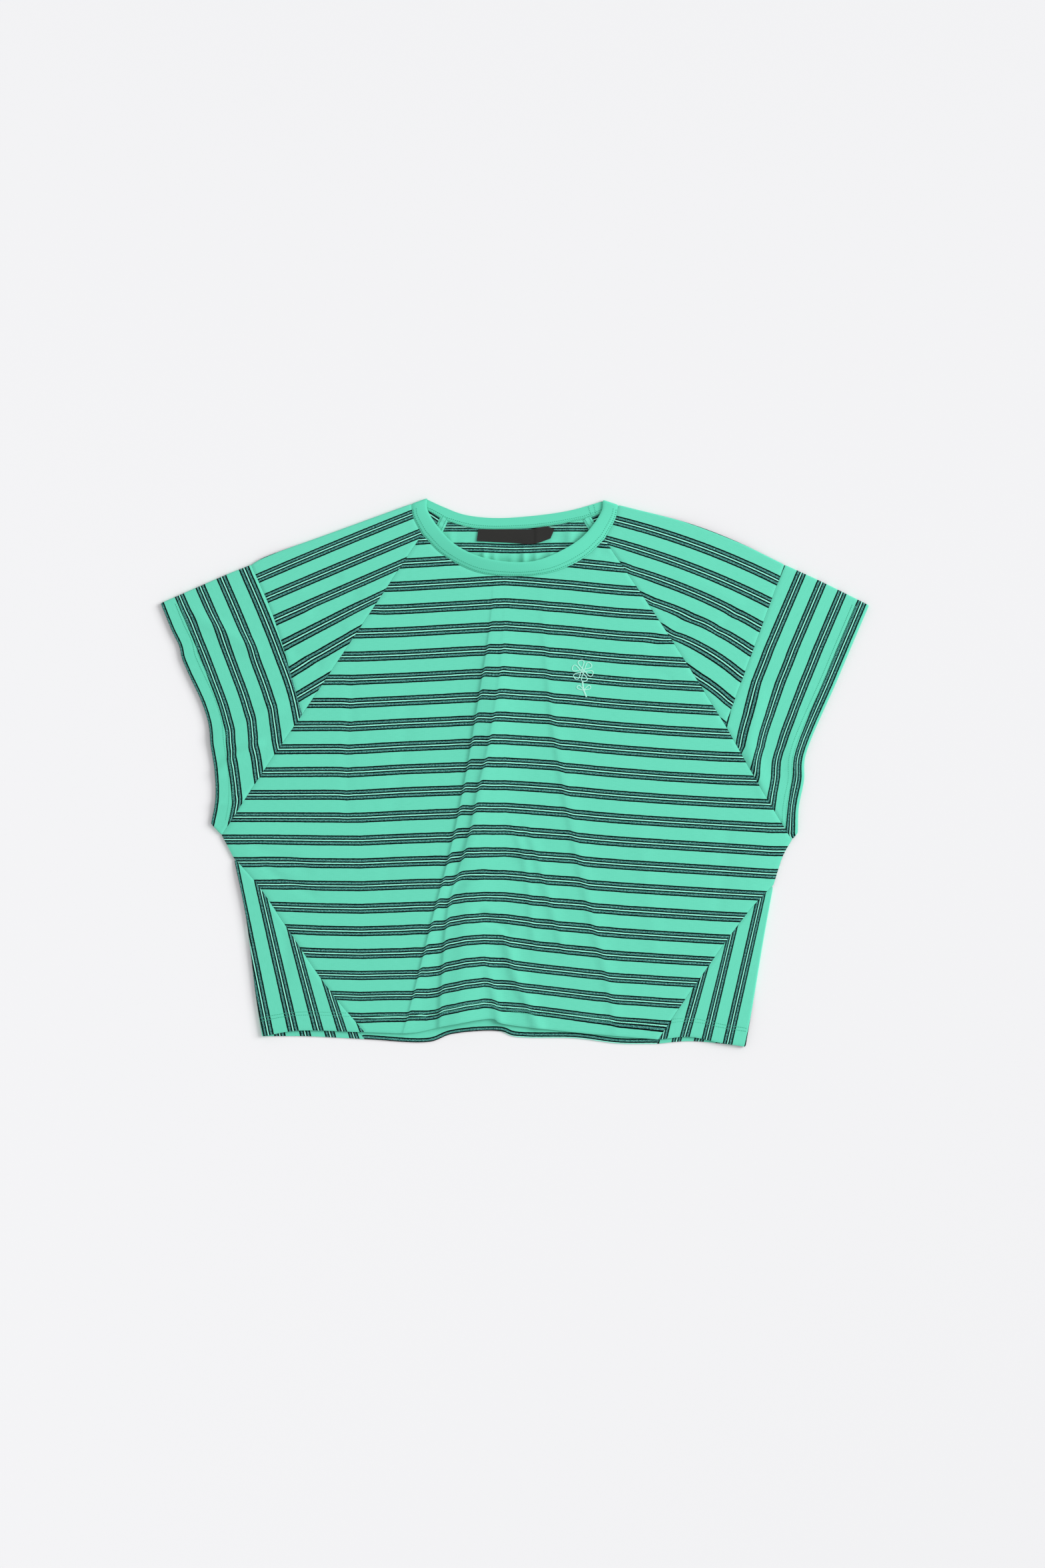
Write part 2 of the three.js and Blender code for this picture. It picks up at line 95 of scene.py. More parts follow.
# The outline and the seams of each side, as rows of x and y.
sides = {
    "left": {
        "topFold": line([-85.5, 267.3], [-100.8, 261.8], [-185.6, 231], [-245.4, 209.1], [-257.1, 202.6],
                        [-278.9, 193.7], [-345.2, 164.9]),
        "neckEnd": line([-100.8, 261.8], [-99.4, 250], [-90.4, 231.9]),
        "backNeckEnd": line([-100.8, 261.8], [-84.4, 255], [-70, 246.3]),
        "raglan": line([-90.4, 231.9], [-150.5, 141.5], [-207.3, 56.4]),
        "backRaglan": line([-70, 246.3], [-140, 150], [-207.3, 56.4]),
        "bandSeam": line([-257.1, 202.6], [-235.6, 152.6], [-207.3, 56.4]),
        "armSeam": line([-207.3, 56.4], [-248.6, -4.1], [-285.7, -61.3]),
        "cuff": line([-345.2, 164.9], [-333.9, 137.3], [-327.2, 123.5], [-324.4, 111.3], [-319, 98.3],
                     [-304.7, 67.4], [-298.3, 46], [-296.5, 26.8], [-292.5, 0.8], [-292, -28.1], [-296.1, -50.2]),
        "cuffStripe": line([-345.2, 164.9], [-326, 120], [-312, 84], [-299.8, 48], [-294.8, 2], [-292.2, -28],
                           [-296.1, -50.2]),
        "sideSeam": line([-285.7, -61.3], [-280.2, -71.4], [-274, -83.4]),
        "sideFold": line([-274, -83.4], [-262.5, -138.6], [-252.2, -219.6], [-246.3, -257.3]),
        "goreSeam": line([-274, -83.4], [-254.3, -104.6], [-182.8, -209.2], [-146.6, -253]),
        "backGoreSeam": line([-274, -83.4], [-254.3, -106], [-182.8, -212], [-146.6, -259.8]),
        "goreHem": line([-246.3, -257.3], [-213.8, -251.7], [-146.6, -253]),
        "backGoreHem": line([-246.3, -257.3], [-205, -257], [-146.6, -259.8]),
    },
    "right": {
        "topFold": line([86.1, 265.7], [101.1, 260.8], [167.4, 243.6], [213.8, 226.2], [262.9, 202.6],
                        [297.4, 186.7], [345.2, 163]),
        "neckEnd": line([101.1, 260.8], [98.4, 248], [87.4, 227.3]),
        "backNeckEnd": line([101.1, 260.8], [84, 252.5], [71, 247.3]),
        "raglan": line([87.4, 227.3], [147.9, 137], [205.1, 46]),
        "backRaglan": line([71, 247.3], [140, 148], [205.1, 46]),
        "bandSeam": line([262.9, 202.6], [231.1, 116.2], [205.1, 46]),
        "armSeam": line([205.1, 46], [238.9, -13.8], [270.1, -65.8]),
        "cuff": line([345.2, 163], [314.3, 90.2], [282.9, 14.8], [281.8, -7.3], [276.7, -34], [275.7, -59.3]),
        "cuffStripe": line([345.2, 163], [314.3, 90.2], [282.9, 14.8], [281.8, -7.3], [278.5, -34], [275.7, -59.3]),
        "sideSeam": line([270.1, -65.8], [262, -80], [252.2, -109.4]),
        "sideFold": line([252.2, -109.4], [243, -159.4], [231.7, -227.7], [224.9, -267.3]),
        "goreSeam": line([252.2, -109.4], [228.5, -134.6], [164.1, -223.8], [139.8, -260.2]),
        "backGoreSeam": line([252.2, -109.4], [228.5, -136], [164.1, -226], [138.5, -264.4]),
        "goreHem": line([224.9, -267.3], [200.1, -263.4], [170, -257.6], [139.8, -260.2]),
        "backGoreHem": line([224.9, -267.3], [199.9, -264.1], [170, -261.8], [138.5, -264.4]),
    },
}
foldRow = {"neckTip": 0, "neckSeam": 1, "bandSeam": 4, "cuff": 6}
goreCut = {"seam": 0.010, "fold": 0.038}

# The lines that run across the middle, from left to right.
frontNeck = line([-90.4, 231.9], [-70.7, 212.4], [-37.5, 195.2], [-0.2, 191.1], [37.1, 195.2],
                 [68.2, 209.6], [87.4, 227.3])
backNeck = line([-70, 246.3], [-41.7, 238.4], [-4.4, 237.2], [29.8, 239.7], [71, 247.3])
frontRibEdge = line([-85.5, 267.3], [-85.2, 256.3], [-62.4, 225.6], [-37.5, 211.5], [-8.5, 205.3],
                    [17.9, 205.7], [42.2, 214.4], [67.1, 230.6], [84.8, 255.5], [86.1, 265.7])
backRibEdge = line([-85.5, 267.3], [-70.7, 259.2], [-49.9, 251.4], [-20.9, 248], [17.9, 250.1],
                   [54.6, 255.5], [86.1, 265.7])
frontHem = line([-146.6, -253], [-99.8, -253.7], [-65.3, -246.5], [-20.1, -240.4], [-15.3, -243.7],
                [43.9, -251.6], [108.9, -257.6], [139.8, -260.2])
backHem = line([-146.6, -259.8], [-82.2, -262.3], [-62, -255], [-14.6, -252.1], [-1, -257.1],
               [60, -259], [101.6, -264.1], [138.5, -264.4])

# Creases of the front layer. Each is a soft ridge along a smooth line that runs up or to the right. left and
# right are how far it spreads to either side of its line, fades are the shares of its length over which it
# starts and ends, step is how far the stripes jump up across it and soft how gently, at its start and further
# on, and slide is how far it draws them along.
def crease(height, left, right, points, step=0.0, slide=(0, 0), fades=(0.2, 0.2), soft=(2.5, 2.5)):
    return {"height": height, "left": left, "right": right, "path": smoothLine(line(*points))[::3],
            "step": step, "slide": slide, "fades": fades, "soft": soft}


def smoothLine(rows):
    # a centripetal Catmull-Rom curve through the rows
    ends = np.vstack([2 * rows[0] - rows[1], rows, 2 * rows[-1] - rows[-2]])
    points = []
    for k in range(len(rows) - 1):
        a, b, c, d = ends[k:k + 4]
        ab, bc, cd = (math.sqrt(np.linalg.norm(q - p)) for p, q in ((a, b), (b, c), (c, d)))
        startWay = ((b - a) / ab - (c - a) / (ab + bc) + (c - b) / bc) * bc
        endWay = ((c - b) / bc - (d - b) / (bc + cd) + (d - c) / cd) * bc
        t = np.linspace(0, 1, spanSteps, endpoint=False)[:, None]
        points.append(b + startWay * t + (3 * (c - b) - 2 * startWay - endWay) * t ** 2
                      + (2 * (b - c) + startWay + endWay) * t ** 3)
    return np.vstack(points + [rows[-1:]])


creases = [
    # the sharp left edge of the main fold, and the crease beside it
    crease(1.6, 1.5, 8, [[-130, -320], [-111, -262], [-102, -230], [-79, -139], [-62, -74], [-45.5, 8],
                         [-38.5, 51], [-32, 90], [-24, 142], [-18, 215]], step=3.4, fades=(0.3, 0.3),
           soft=(1.3, 1.6)),
    crease(1.5, 2.4, 8, [[-88, -320], [-75, -262], [-71, -204], [-64, -131], [-55.5, -100], [-44, -60],
                         [-34.5, -12], [-28.5, 11], [-20, 57], [-14, 98], [-6, 215]], step=3.9,
           fades=(0.02, 0.6), soft=(4.5, 1.7)),
    # the long crease right of the middle
    crease(1.1, 4, 9, [[105, -320], [92, -215], [74, -139], [57, -61], [44, 8], [37, 51], [33, 90],
                       [28, 150], [25, 215]], step=-2.4, fades=(0.25, 0.35), soft=(3.5, 3.5)),
    # the main fold itself
    crease(3.2, 13, 24, [[-62, -320], [-48, -150], [-26, 20], [-10, 180]], fades=(0.0, 0.25)),
    # two fine ones right of the middle
    crease(0.9, 3, 6, [[20, -185], [16, -148], [9, -87], [-8, -36]], step=-1.0),
    crease(1.0, 3.4, 7, [[52, -190], [37, -139], [24, -92], [6, -38]], step=-1.4),
    # the lower middle, where the hem rides up
    crease(2.2, 4.5, 7, [[44, -320], [18, -239], [0, -198], [-14, -150], [-38, -128]], step=-1.6,
           fades=(0.0, 0.25)),
    crease(1.8, 4, 6, [[-8, -320], [-17, -235], [-26, -191], [-34, -160]], step=-3.4, fades=(0.0, 0.4),
           soft=(3.5, 3.5)),
    crease(-1.9, 5, 5, [[-66, -122], [-52, -106], [-38, -97], [-10, -84], [12, -82]], slide=(0, 0.8)),
    crease(-2.4, 5, 4, [[-42, -137], [-28, -141], [-14, -149], [-4, -164]]),
    # shallow ones on the chest and at the wedges
    crease(-0.5, 5, 5, [[-164, -62], [-163, 0], [-160, 60], [-159, 108]], slide=(0, -0.7)),
    crease(-0.8, 5, 6, [[-262, -66], [-247, -76], [-222, -84], [-196, -100]], slide=(0, 0.5)),
    crease(-0.8, 4, 5, [[-250, -84], [-236, -98], [-212, -112], [-186, -124]], slide=(0, 0.6)),
    crease(-0.5, 6, 5, [[-226, -215], [-223, -174], [-228, -140]]),
    crease(0.5, 8, 8, [[140, -200], [131, -120], [120, -40]]),
    crease(-0.5, 6, 6, [[196, -150], [205, -90], [206, -40]]),
    crease(-0.4, 6, 6, [[-126, -150], [-122, -60], [-108, 30], [-104, 100]]),
    crease(-0.6, 4, 5, [[78, 216], [92, 211], [108, 200]], slide=(0, -0.8)),
    crease(-0.5, 5, 5, [[112, 96], [136, 98], [158, 88]], slide=(0, -0.7)),
    # the left sleeve band
    crease(1.2, 6, 9, [[-322, 158], [-302, 148], [-280, 136], [-262, 125], [-246, 112]], slide=(1.3, 0)),
    crease(1.3, 7, 8, [[-306, 26], [-289, 36], [-268, 45], [-249, 56], [-218, 72]], slide=(0.9, 0)),
    crease(1.5, 4, 6, [[-300, -8], [-290, 0], [-279, 11], [-262, 22], [-240, 34]], slide=(-0.8, 0)),
    crease(0.9, 3, 5, [[-300, -33], [-289, -31], [-274, -29], [-262, -20]], slide=(0.7, 0)),
    # the right sleeve band
    crease(1.5, 5, 9, [[246, -34], [240, -10], [228, 25], [233, 56], [243, 90]], slide=(1.2, 0)),
    crease(0.7, 6, 8, [[276, -14], [269, 25], [282, 62]], slide=(0.9, 0)),
    # the shoulders
    crease(-0.9, 6, 7, [[-206, 156], [-188, 160], [-168, 166], [-146, 178]], slide=(0, 1.0)),
    crease(-0.6, 5, 5, [[-208, 180], [-190, 184], [-166, 194]]),
    crease(0.7, 6, 6, [[-170, 138], [-151, 151], [-128, 160]], slide=(0, 0.8)),
    crease(-0.6, 6, 6, [[-222, 118], [-204, 112], [-184, 104]], slide=(0, 0.6)),
    crease(-0.7, 7, 7, [[128, 118], [146, 132], [165, 147], [186, 152]], slide=(0, -1.0)),
    crease(-0.6, 6, 6, [[192, 132], [208, 149], [222, 160]], slide=(0, -0.8)),
    crease(0.6, 8, 8, [[150, 190], [190, 180], [226, 160]]),
]

# The back panel inside the neck rises along a ridge below its second stripe, and has soft upright folds: x,
# y from, y to, half width and height.
neckRidge = {"y": 212.5, "above": 7, "below": 6.5, "height": 2.0, "halfLength": 62}
neckFolds = [
    [-63, 228, 194, 3.5, 1.6],
    [-51, 216, 190, 3.0, 1.9],
    [-30, 216, 186, 2.6, 2.5],
    [-20, 211, 186, 2.6, 1.6],
    [-3, 209, 186, 3.4, 1.0],
    [9, 215, 186, 2.8, 2.4],
    [21, 212, 186, 3.0, 1.8],
    [36, 217, 186, 4.0, 2.2],
    [54, 238, 208, 5.0, 1.8],
]


def lengthsAlong(points):
    return np.concatenate([[0], np.cumsum(np.linalg.norm(np.diff(points, axis=0), axis=1))])


def walk(rows, shares, first=0, last=None):
    # places on the smooth line at these shares of its length, between two of its rows
    last = len(rows) - 1 if last is None else last
    points = smoothLine(rows)[first * spanSteps:last * spanSteps + 1]
    reach = lengthsAlong(points)
    return np.stack([np.interp(np.asarray(shares) * reach[-1], reach, points[:, k])
                     for k in range(points.shape[1])], axis=1)


def even(count):
    return np.linspace(0, 1, count + 1)


def edged(count, length, start=True, end=True):
    # even shares, with finer ones beside a seam or a hem
    near = np.array([0.5, 1.1, 2.0]) / length
    inner = [x for x in even(count) if 3 / length < x < 1 - 3 / length]
    return np.array([0.0, *(near if start else [1.5 / length]), *inner,
                     *((1 - near)[::-1] if end else [1 - 1.5 / length]), 1.0])


def smoothstep(x, low, high):
    t = np.clip((x - low) / (high - low), 0, 1)
    return t * t * (3 - 2 * t)


def distanceTo(points, places):
    nearest = np.full(places.shape[:-1], np.inf)
    for point in points:
        nearest = np.minimum(nearest, np.hypot(places[..., 0] - point[0], places[..., 1] - point[1]))
    return nearest


def feltAt(one, places):
    # how strongly a crease is felt at each place: the height of its ridge, the jump of the stripes and the fade
    path, margin = one["path"], 3 * max(one["left"], one["right"]) + 24
    low, high = path.min(axis=0) - margin, path.max(axis=0) + margin
    near = ((places > low) & (places < high)).all(axis=-1)
    ridge, jump = np.zeros(places.shape[:-1]), np.zeros(places.shape[:-1])
    if not near.any():
        return ridge, jump
    ways = np.diff(path, axis=0)
    lengths = np.linalg.norm(ways, axis=1)
    offset = places[near][:, None] - path[None, :-1]
    along = np.clip((offset * ways).sum(axis=-1) / lengths ** 2, 0, 1)
    distance = np.linalg.norm(offset - along[..., None] * ways, axis=-1)
    nearest = distance.argmin(axis=1)[:, None]
    turn = ways[:, 0] * offset[..., 1] - ways[:, 1] * offset[..., 0]
    aside = (distance * np.sign(turn))[np.arange(len(offset)), nearest[:, 0]]     # more than 0 on the left
    reach = np.concatenate([[0], np.cumsum(lengths)])
    share = (reach[nearest] + np.take_along_axis(along, nearest, 1) * lengths[nearest])[:, 0] / reach[-1]
    start, end = one["fades"]
    fade = smoothstep(share, 0, max(start, 1e-6)) * smoothstep(1 - share, 0, max(end, 1e-6))
    width = np.where(aside > 0, one["left"], one["right"])
    ridge[near] = fade * np.exp(-(aside / width) ** 2)
    soft = np.interp(share, [0.1, 0.45], one["soft"])
    jump[near] = -fade * np.tanh(aside / soft) * np.exp(-np.abs(aside) / 10) / 2
    return ridge, jump


sideSeamPoints = np.vstack([walk(side["sideSeam"], even(30)) for side in sides.values()])


def topAt(places):
    # height of the front layer's outer face
    lay = np.full(places.shape[:-1], cloth["frontTop"])
    for one in creases:
        lay = lay + one["height"] * feltAt(one, places)[0]
    near = np.exp(-(distanceTo(sideSeamPoints, places) / cloth["sideSeamReach"]) ** 2)
    return lay + (cloth["seamedTop"] - lay) * near


def drawn(places):
    # where the cloth at each place would lie if the folds were smoothed out
    flat = places[..., :2].copy()
    for one in creases:
        if one["step"] or any(one["slide"]):
            ridge, jump = feltAt(one, places[..., :2])
            flat[..., 0] -= one["slide"][0] * ridge
            flat[..., 1] -= one["slide"][1] * ridge + one["step"] * jump
    return flat


# Stripes. A pattern value is a whole number on the middle line of each stripe.
stripe = {
    "repeat": 22.26,
    "firstFront": 203.9,       # Y of the front's first stripe where the cloth lies straight
    "neckBack": 219.4,         # Y of the back's stripe that shows inside the neck
    "neckRepeat": 19.8, "backRepeat": 21.8,
    "cuffRepeat": 22.0,
    # how far each stripe of a sleeve band is from its cuff, and the share of that at stations of Y
    "cuffPlaces": {"left": [-1.5, 19.7, 41.8, 64.3, 88, 112], "right": [7.6, 29.1, 51.1, 73.1, 95.2, 117.3]},
    "cuffShares": {"left": [[-30, 1.07], [10, 1.05], [30, 1.01], [60, 1]],
                   "right": [[-20, 1], [10, 0.93], [25, 0.88], [56, 0.91], [88, 0.975], [120, 1]]},
}

# How far the front's stripes are drawn up from straight, at stations across the body, for five stripes.
liftStations = [-240, -190, -150, -110, -85, -65, -48, -30, -10, 12, 30, 55, 80, 105, 150, 200, 250]
liftRows = [
    {"stripe": 2, "lift": [-2, -2, -1.6, -0.4, 1, 2.2, 3.1, 4.4, 5.4, 4.1, 2.6, 0.6, -2, -4.3, -6.8, -9.5, -11]},
    {"stripe": 9, "lift": [-3.5, -3, -3, -0.6, 0.4, 1.3, 3, 5.2, 6, 5, 3.6, 0.8, -2, -4.2, -7.6, -10.4, -12]},
    {"stripe": 13, "lift": [-1.9, -2.9, -3.2, -1.5, -0.5, 1.2, 5.6, 7.5, 7.5, 5.4, 3.7, 1.2, -2.2, -4.3, -7.1,
                            -10.2, -13.5]},
    {"stripe": 17, "lift": [1, -1.5, -2.4, -1.3, 1.2, 6, 10.8, 12.2, 10.9, 6.9, 4.4, 1.7, -1.5, -4.4, -7.4,
                            -10.3, -12]},
    {"stripe": 20, "lift": [6, 4, 2.2, 3.6, 5, 9.5, 14, 16.6, 14, 11.3, 8.5, 4.8, 1.3, -1.7, -5.3, -8, -10]},
    {"stripe": 21, "lift": [3, 1, 0, 1, 2, 6, 9, 12, 8, 4, 2, 0, -2, -5, -9, -12, -14]},
]

# The middle line of each stripe on the folded pieces: x and y of both ends, and how far it bows to its left.
stripeLines = {
    "leftShoulder": [
        [-257.1, 208.2, -108.4, 268.7, 0.6], [-249.3, 189.6, -101.1, 251.2, 0.6],
        [-240.8, 170.4, -91.3, 233.3, 0.2], [-233.7, 148.5, -106.3, 204.6, 0.1],
        [-225.9, 123.6, -127.1, 173.6, 0.5], [-218.1, 97.6, -154.4, 135.4, 0.4],
        [-211.6, 73.5, -178.1, 93.4, 0],
    ],
    "rightShoulder": [
        [99.1, 245.1, 257.7, 186.4, 4.7], [89.4, 226.0, 247.3, 166.0, 4.3], [114.1, 196.6, 238.2, 142.6, 4.2],
        [134.9, 165.4, 229.1, 119.2, 3.9], [155.7, 133.0, 218.7, 95.4, 3.4], [179.1, 91.5, 207, 70.5, 1.0],
    ],
    "leftGore": [
        [-240.2, -255.6, -274.6, -85.3, 0], [-215.2, -254.3, -249, -107.4, 0], [-190.6, -253.7, -215.2, -161.4, 0],
        [-167.6, -253, -181.6, -209.5, 0], [-145.3, -255.6, -158.9, -221.9, 0],
    ],
    "rightGore": [
        [259.7, -111.3, 228.3, -267.3, 0], [240.2, -119.8, 207.7, -262.1, 0], [209, -165.9, 186.9, -258.9, 0],
        [179.1, -209.5, 166.1, -255, 0], [147.9, -241.3, 143.3, -262, 0],
    ],
}


def frontPattern(places):
    flat = drawn(places)
    level = (stripe["firstFront"] - flat[..., 1]) / stripe["repeat"]
    byRow = [np.interp(flat[..., 0], liftStations, row["lift"]) for row in liftRows]
    marks = [row["stripe"] for row in liftRows]
    lift = byRow[0]
    for low, high, a, b in zip(marks, marks[1:], byRow, byRow[1:]):
        lift = lift + (b - a) * smoothstep(level, low, high)
    return np.stack([flat[..., 0] / stripe["repeat"], level + lift / stripe["repeat"]], axis=-1)


def backPattern(places):
    flat = places[..., :2]
    sway = 1.1 * np.cos(flat[..., 0] / 24) * np.exp(-(flat[..., 0] / 45) ** 2)
    past = stripe["neckBack"] - flat[..., 1] - sway * smoothstep(-flat[..., 1], -238, -222)
    fromNeck = np.where(past < 0, past / stripe["neckRepeat"], past / stripe["backRepeat"])
    hemPoints = walk(backHem, even(900))
    fromHem = -distanceTo(hemPoints, flat) / stripe["backRepeat"]
    nearHem = smoothstep(-flat[..., 1], 170, 215)
    whole = 22.0            # stripes between the two
    outset = np.interp(flat[..., 0], [-25, 5], [-0.8, 0.3]) / stripe["backRepeat"]
    level = fromNeck * (1 - nearHem) + (whole + outset + fromHem) * nearHem
    return np.stack([flat[..., 0] / stripe["repeat"], level], axis=-1)


def linePattern(name):
    # pattern of a piece whose stripes fan out, from the lines along their middles
    rows = np.array(stripeLines[name])
    starts, ways, bows = rows[:, :2], rows[:, 2:4] - rows[:, :2], rows[:, 4]
    lengths = np.linalg.norm(ways, axis=1)
    ways = ways / lengths[:, None]
    mean = ways.mean(axis=0) / np.linalg.norm(ways.mean(axis=0))
    order = np.sign(np.cross(ways[0], starts[1] - starts[0]))

    def pattern(places):
        flat = drawn(places)
        past = []
        for start, way, length, bow in zip(starts, ways, lengths, bows):
            offset = flat - start
            share = np.clip((offset @ way) / length, 0, 1)
            aside = way[0] * offset[..., 1] - way[1] * offset[..., 0]
            past.append(order * (aside - bow * 4 * share * (1 - share)))
        past = np.array(past)
        count = (past >= 0).sum(axis=0)
        before = np.clip(count - 1, 0, len(rows) - 2)
        low = np.take_along_axis(past, before[None], axis=0)[0]
        high = np.take_along_axis(past, before[None] + 1, axis=0)[0]
        level = before + low / (low - high)
        level = np.where(count == 0, past[0] / stripe["repeat"], level)
        level = np.where(count == len(rows), len(rows) - 1 + past[-1] / stripe["repeat"], level)
        along = (flat[..., 0] - starts[0, 0]) * mean[0] + (flat[..., 1] - starts[0, 1]) * mean[1]
        return np.stack([along / stripe["repeat"], level], axis=-1)
    return pattern


def cuffPattern(name):
    # the stripe at the edge follows it closely, and the others a smoother line
    edgePoints, smoothPoints = (walk(sides[name][key], even(500)) for key in ("cuff", "cuffStripe"))
    heights, shares = np.array(stripe["cuffShares"][name]).T
    stops = np.array(stripe["cuffPlaces"][name])

    def pattern(places):
        flat = drawn(places)
        fromEdge, fromSmooth = distanceTo(edgePoints, places), distanceTo(smoothPoints, flat)
        past = fromEdge + (fromSmooth - fromEdge) * smoothstep(fromEdge, 4, 12)
        past = past / np.interp(flat[..., 1], heights, shares)
        beyond = np.minimum(past - stops[0], 0) + np.maximum(past - stops[-1], 0)
        level = np.interp(past, stops, range(len(stops))) + beyond / stripe["cuffRepeat"]
        return np.stack([flat[..., 1] / stripe["repeat"], level], axis=-1)
    return pattern


def fill(top, bottom, left, right, u, v):
    # a grid between four lines, rows from top to bottom
    u, v = u[None, :, None], v[:, None, None]
    across = top[None] * (1 - v) + bottom[None] * v
    down = left[:, None] * (1 - u) + right[:, None] * u
    corners = (top[0] * (1 - u) + top[-1] * u) * (1 - v) + (bottom[0] * (1 - u) + bottom[-1] * u) * v
    return across + down - corners


# A sheet of places is a dictionary of grids: outer points, ways out, wall thickness and pattern.
def frontSheet(flat, pattern, wall=None, lift=0.0):
    height = topAt(flat) + lift
    outer = np.concatenate([flat, height[..., None]], axis=-1)
    out = np.broadcast_to(np.array([0, 0, 1.0]), outer.shape).copy()
    return {"outer": outer, "out": out, "wall": wallAt(flat, wall), "pattern": pattern(flat)}


def backSheet(flat, pattern, wall=None):
    outer = np.concatenate([flat, np.zeros(flat.shape[:-1] + (1,))], axis=-1)
    out = np.broadcast_to(np.array([0, 0, -1.0]), outer.shape).copy()
    return {"outer": outer, "out": out, "wall": wallAt(flat, wall), "pattern": pattern(flat)}


def wallAt(flat, wall=None):
    wall = cloth["wall"] if wall is None else wall
    return np.minimum(wall, (topAt(flat) - cloth["layGap"]) / 2)


def foldEdge(points, startWay, endWay):
    # a folded edge: its stops, the way in from each, and where its roll meets the front
    share = (lengthsAlong(points) / lengthsAlong(points)[-1])[:, None]
    way = startWay * (1 - share) + endWay * share
    way = way / np.linalg.norm(way, axis=1)[:, None]
    radius = topAt(points) / 2
    reach = radius * cloth["foldShare"]
    return {"stop": points, "way": way, "radius": radius, "reach": reach, "inner": points + way * reach[:, None]}


def rollSheet(edge, frontPatternEnd, backPatternEnd, wall=None):
    # the rows round a fold, from the front to the back
    turns = (np.arange(1, cloth["rollSteps"]) * math.pi / cloth["rollSteps"])[:, None]
    radius, reach, way = edge["radius"][None], edge["reach"][None], edge["way"][None]
    flat = edge["stop"][None] + way * (reach * (1 - np.sin(turns)))[..., None]
    height = radius * (1 + np.cos(turns))
    outer = np.concatenate([flat, height[..., None]], axis=-1)
    out = np.concatenate([-way * (np.sin(turns) / reach)[..., None], (np.cos(turns) / radius)[..., None]], axis=-1)
    out = out / np.linalg.norm(out, axis=-1)[..., None]
    share = (turns / math.pi)[..., None]
    inside = np.minimum(wallAt(edge["stop"], wall), edge["reach"] * 0.85)
    return {"outer": outer, "out": out, "wall": np.broadcast_to(inside[None], height.shape).copy(),
            "pattern": frontPatternEnd[None] * (1 - share) + backPatternEnd[None] * share}


def joinSheets(*sheets):
    return {key: np.concatenate([sheet[key] for sheet in sheets], axis=0) for key in sheets[0]}


def flipSheet(sheet):
    return {key: grid[::-1] for key, grid in sheet.items()}


def turnSheet(sheet):
    return {key: np.swapaxes(grid, 0, 1) for key, grid in sheet.items()}


def roundEdges(sheet, edges):
    # lowers the outer face beside its seams and hems, and opens the seams by half their gap
    outer, out = sheet["outer"], sheet["out"]
    moves = np.zeros_like(outer)
    dips = np.zeros(outer.shape[:-1])
    for edge, kind in edges.items():
        axis = 1 if edge in ("left", "right") else 0
        grid = np.moveaxis(outer, axis, 0)
        grid = grid[::-1] if edge in ("right", "bottom") else grid
        ways = np.moveaxis(out, axis, 0)
        ways = ways[::-1] if edge in ("right", "bottom") else ways
        steps = np.linalg.norm(np.diff(grid, axis=0), axis=-1)
        tangent = np.gradient(grid[0], axis=0)
        aside = np.cross(tangent, ways[0])
        aside = aside / np.linalg.norm(aside, axis=1)[:, None]
        inward = np.sign((aside * (grid[3] - grid[0])).sum(axis=1))[:, None] * aside
        slant = np.abs((inward * (grid[3] - grid[0])).sum(axis=1)) / np.linalg.norm(grid[3] - grid[0], axis=1)
        reach = np.concatenate([np.zeros((1,) + steps.shape[1:]), np.cumsum(steps, axis=0)]) * slant[None]
        depth, spread = ((cloth["seamDip"], cloth["seamReach"]) if kind == "seam"
                         else (cloth["edgeDip"], cloth["edgeReach"]))
        dip = depth * np.exp(-(reach / spread) ** 2)
        dip = dip[::-1] if edge in ("right", "bottom") else dip
        dips = np.maximum(dips, np.moveaxis(dip, 0, axis))
        if kind == "seam":
            move = np.zeros_like(grid)
            move[0] = inward * cloth["seamGap"] / 2
            move = move[::-1] if edge in ("right", "bottom") else move
            moves += np.moveaxis(move, 0, axis)
    sheet["outer"] = outer + moves - out * dips[..., None]
    sheet["wall"] = np.maximum(sheet["wall"] - dips, 0.4)
    return sheet


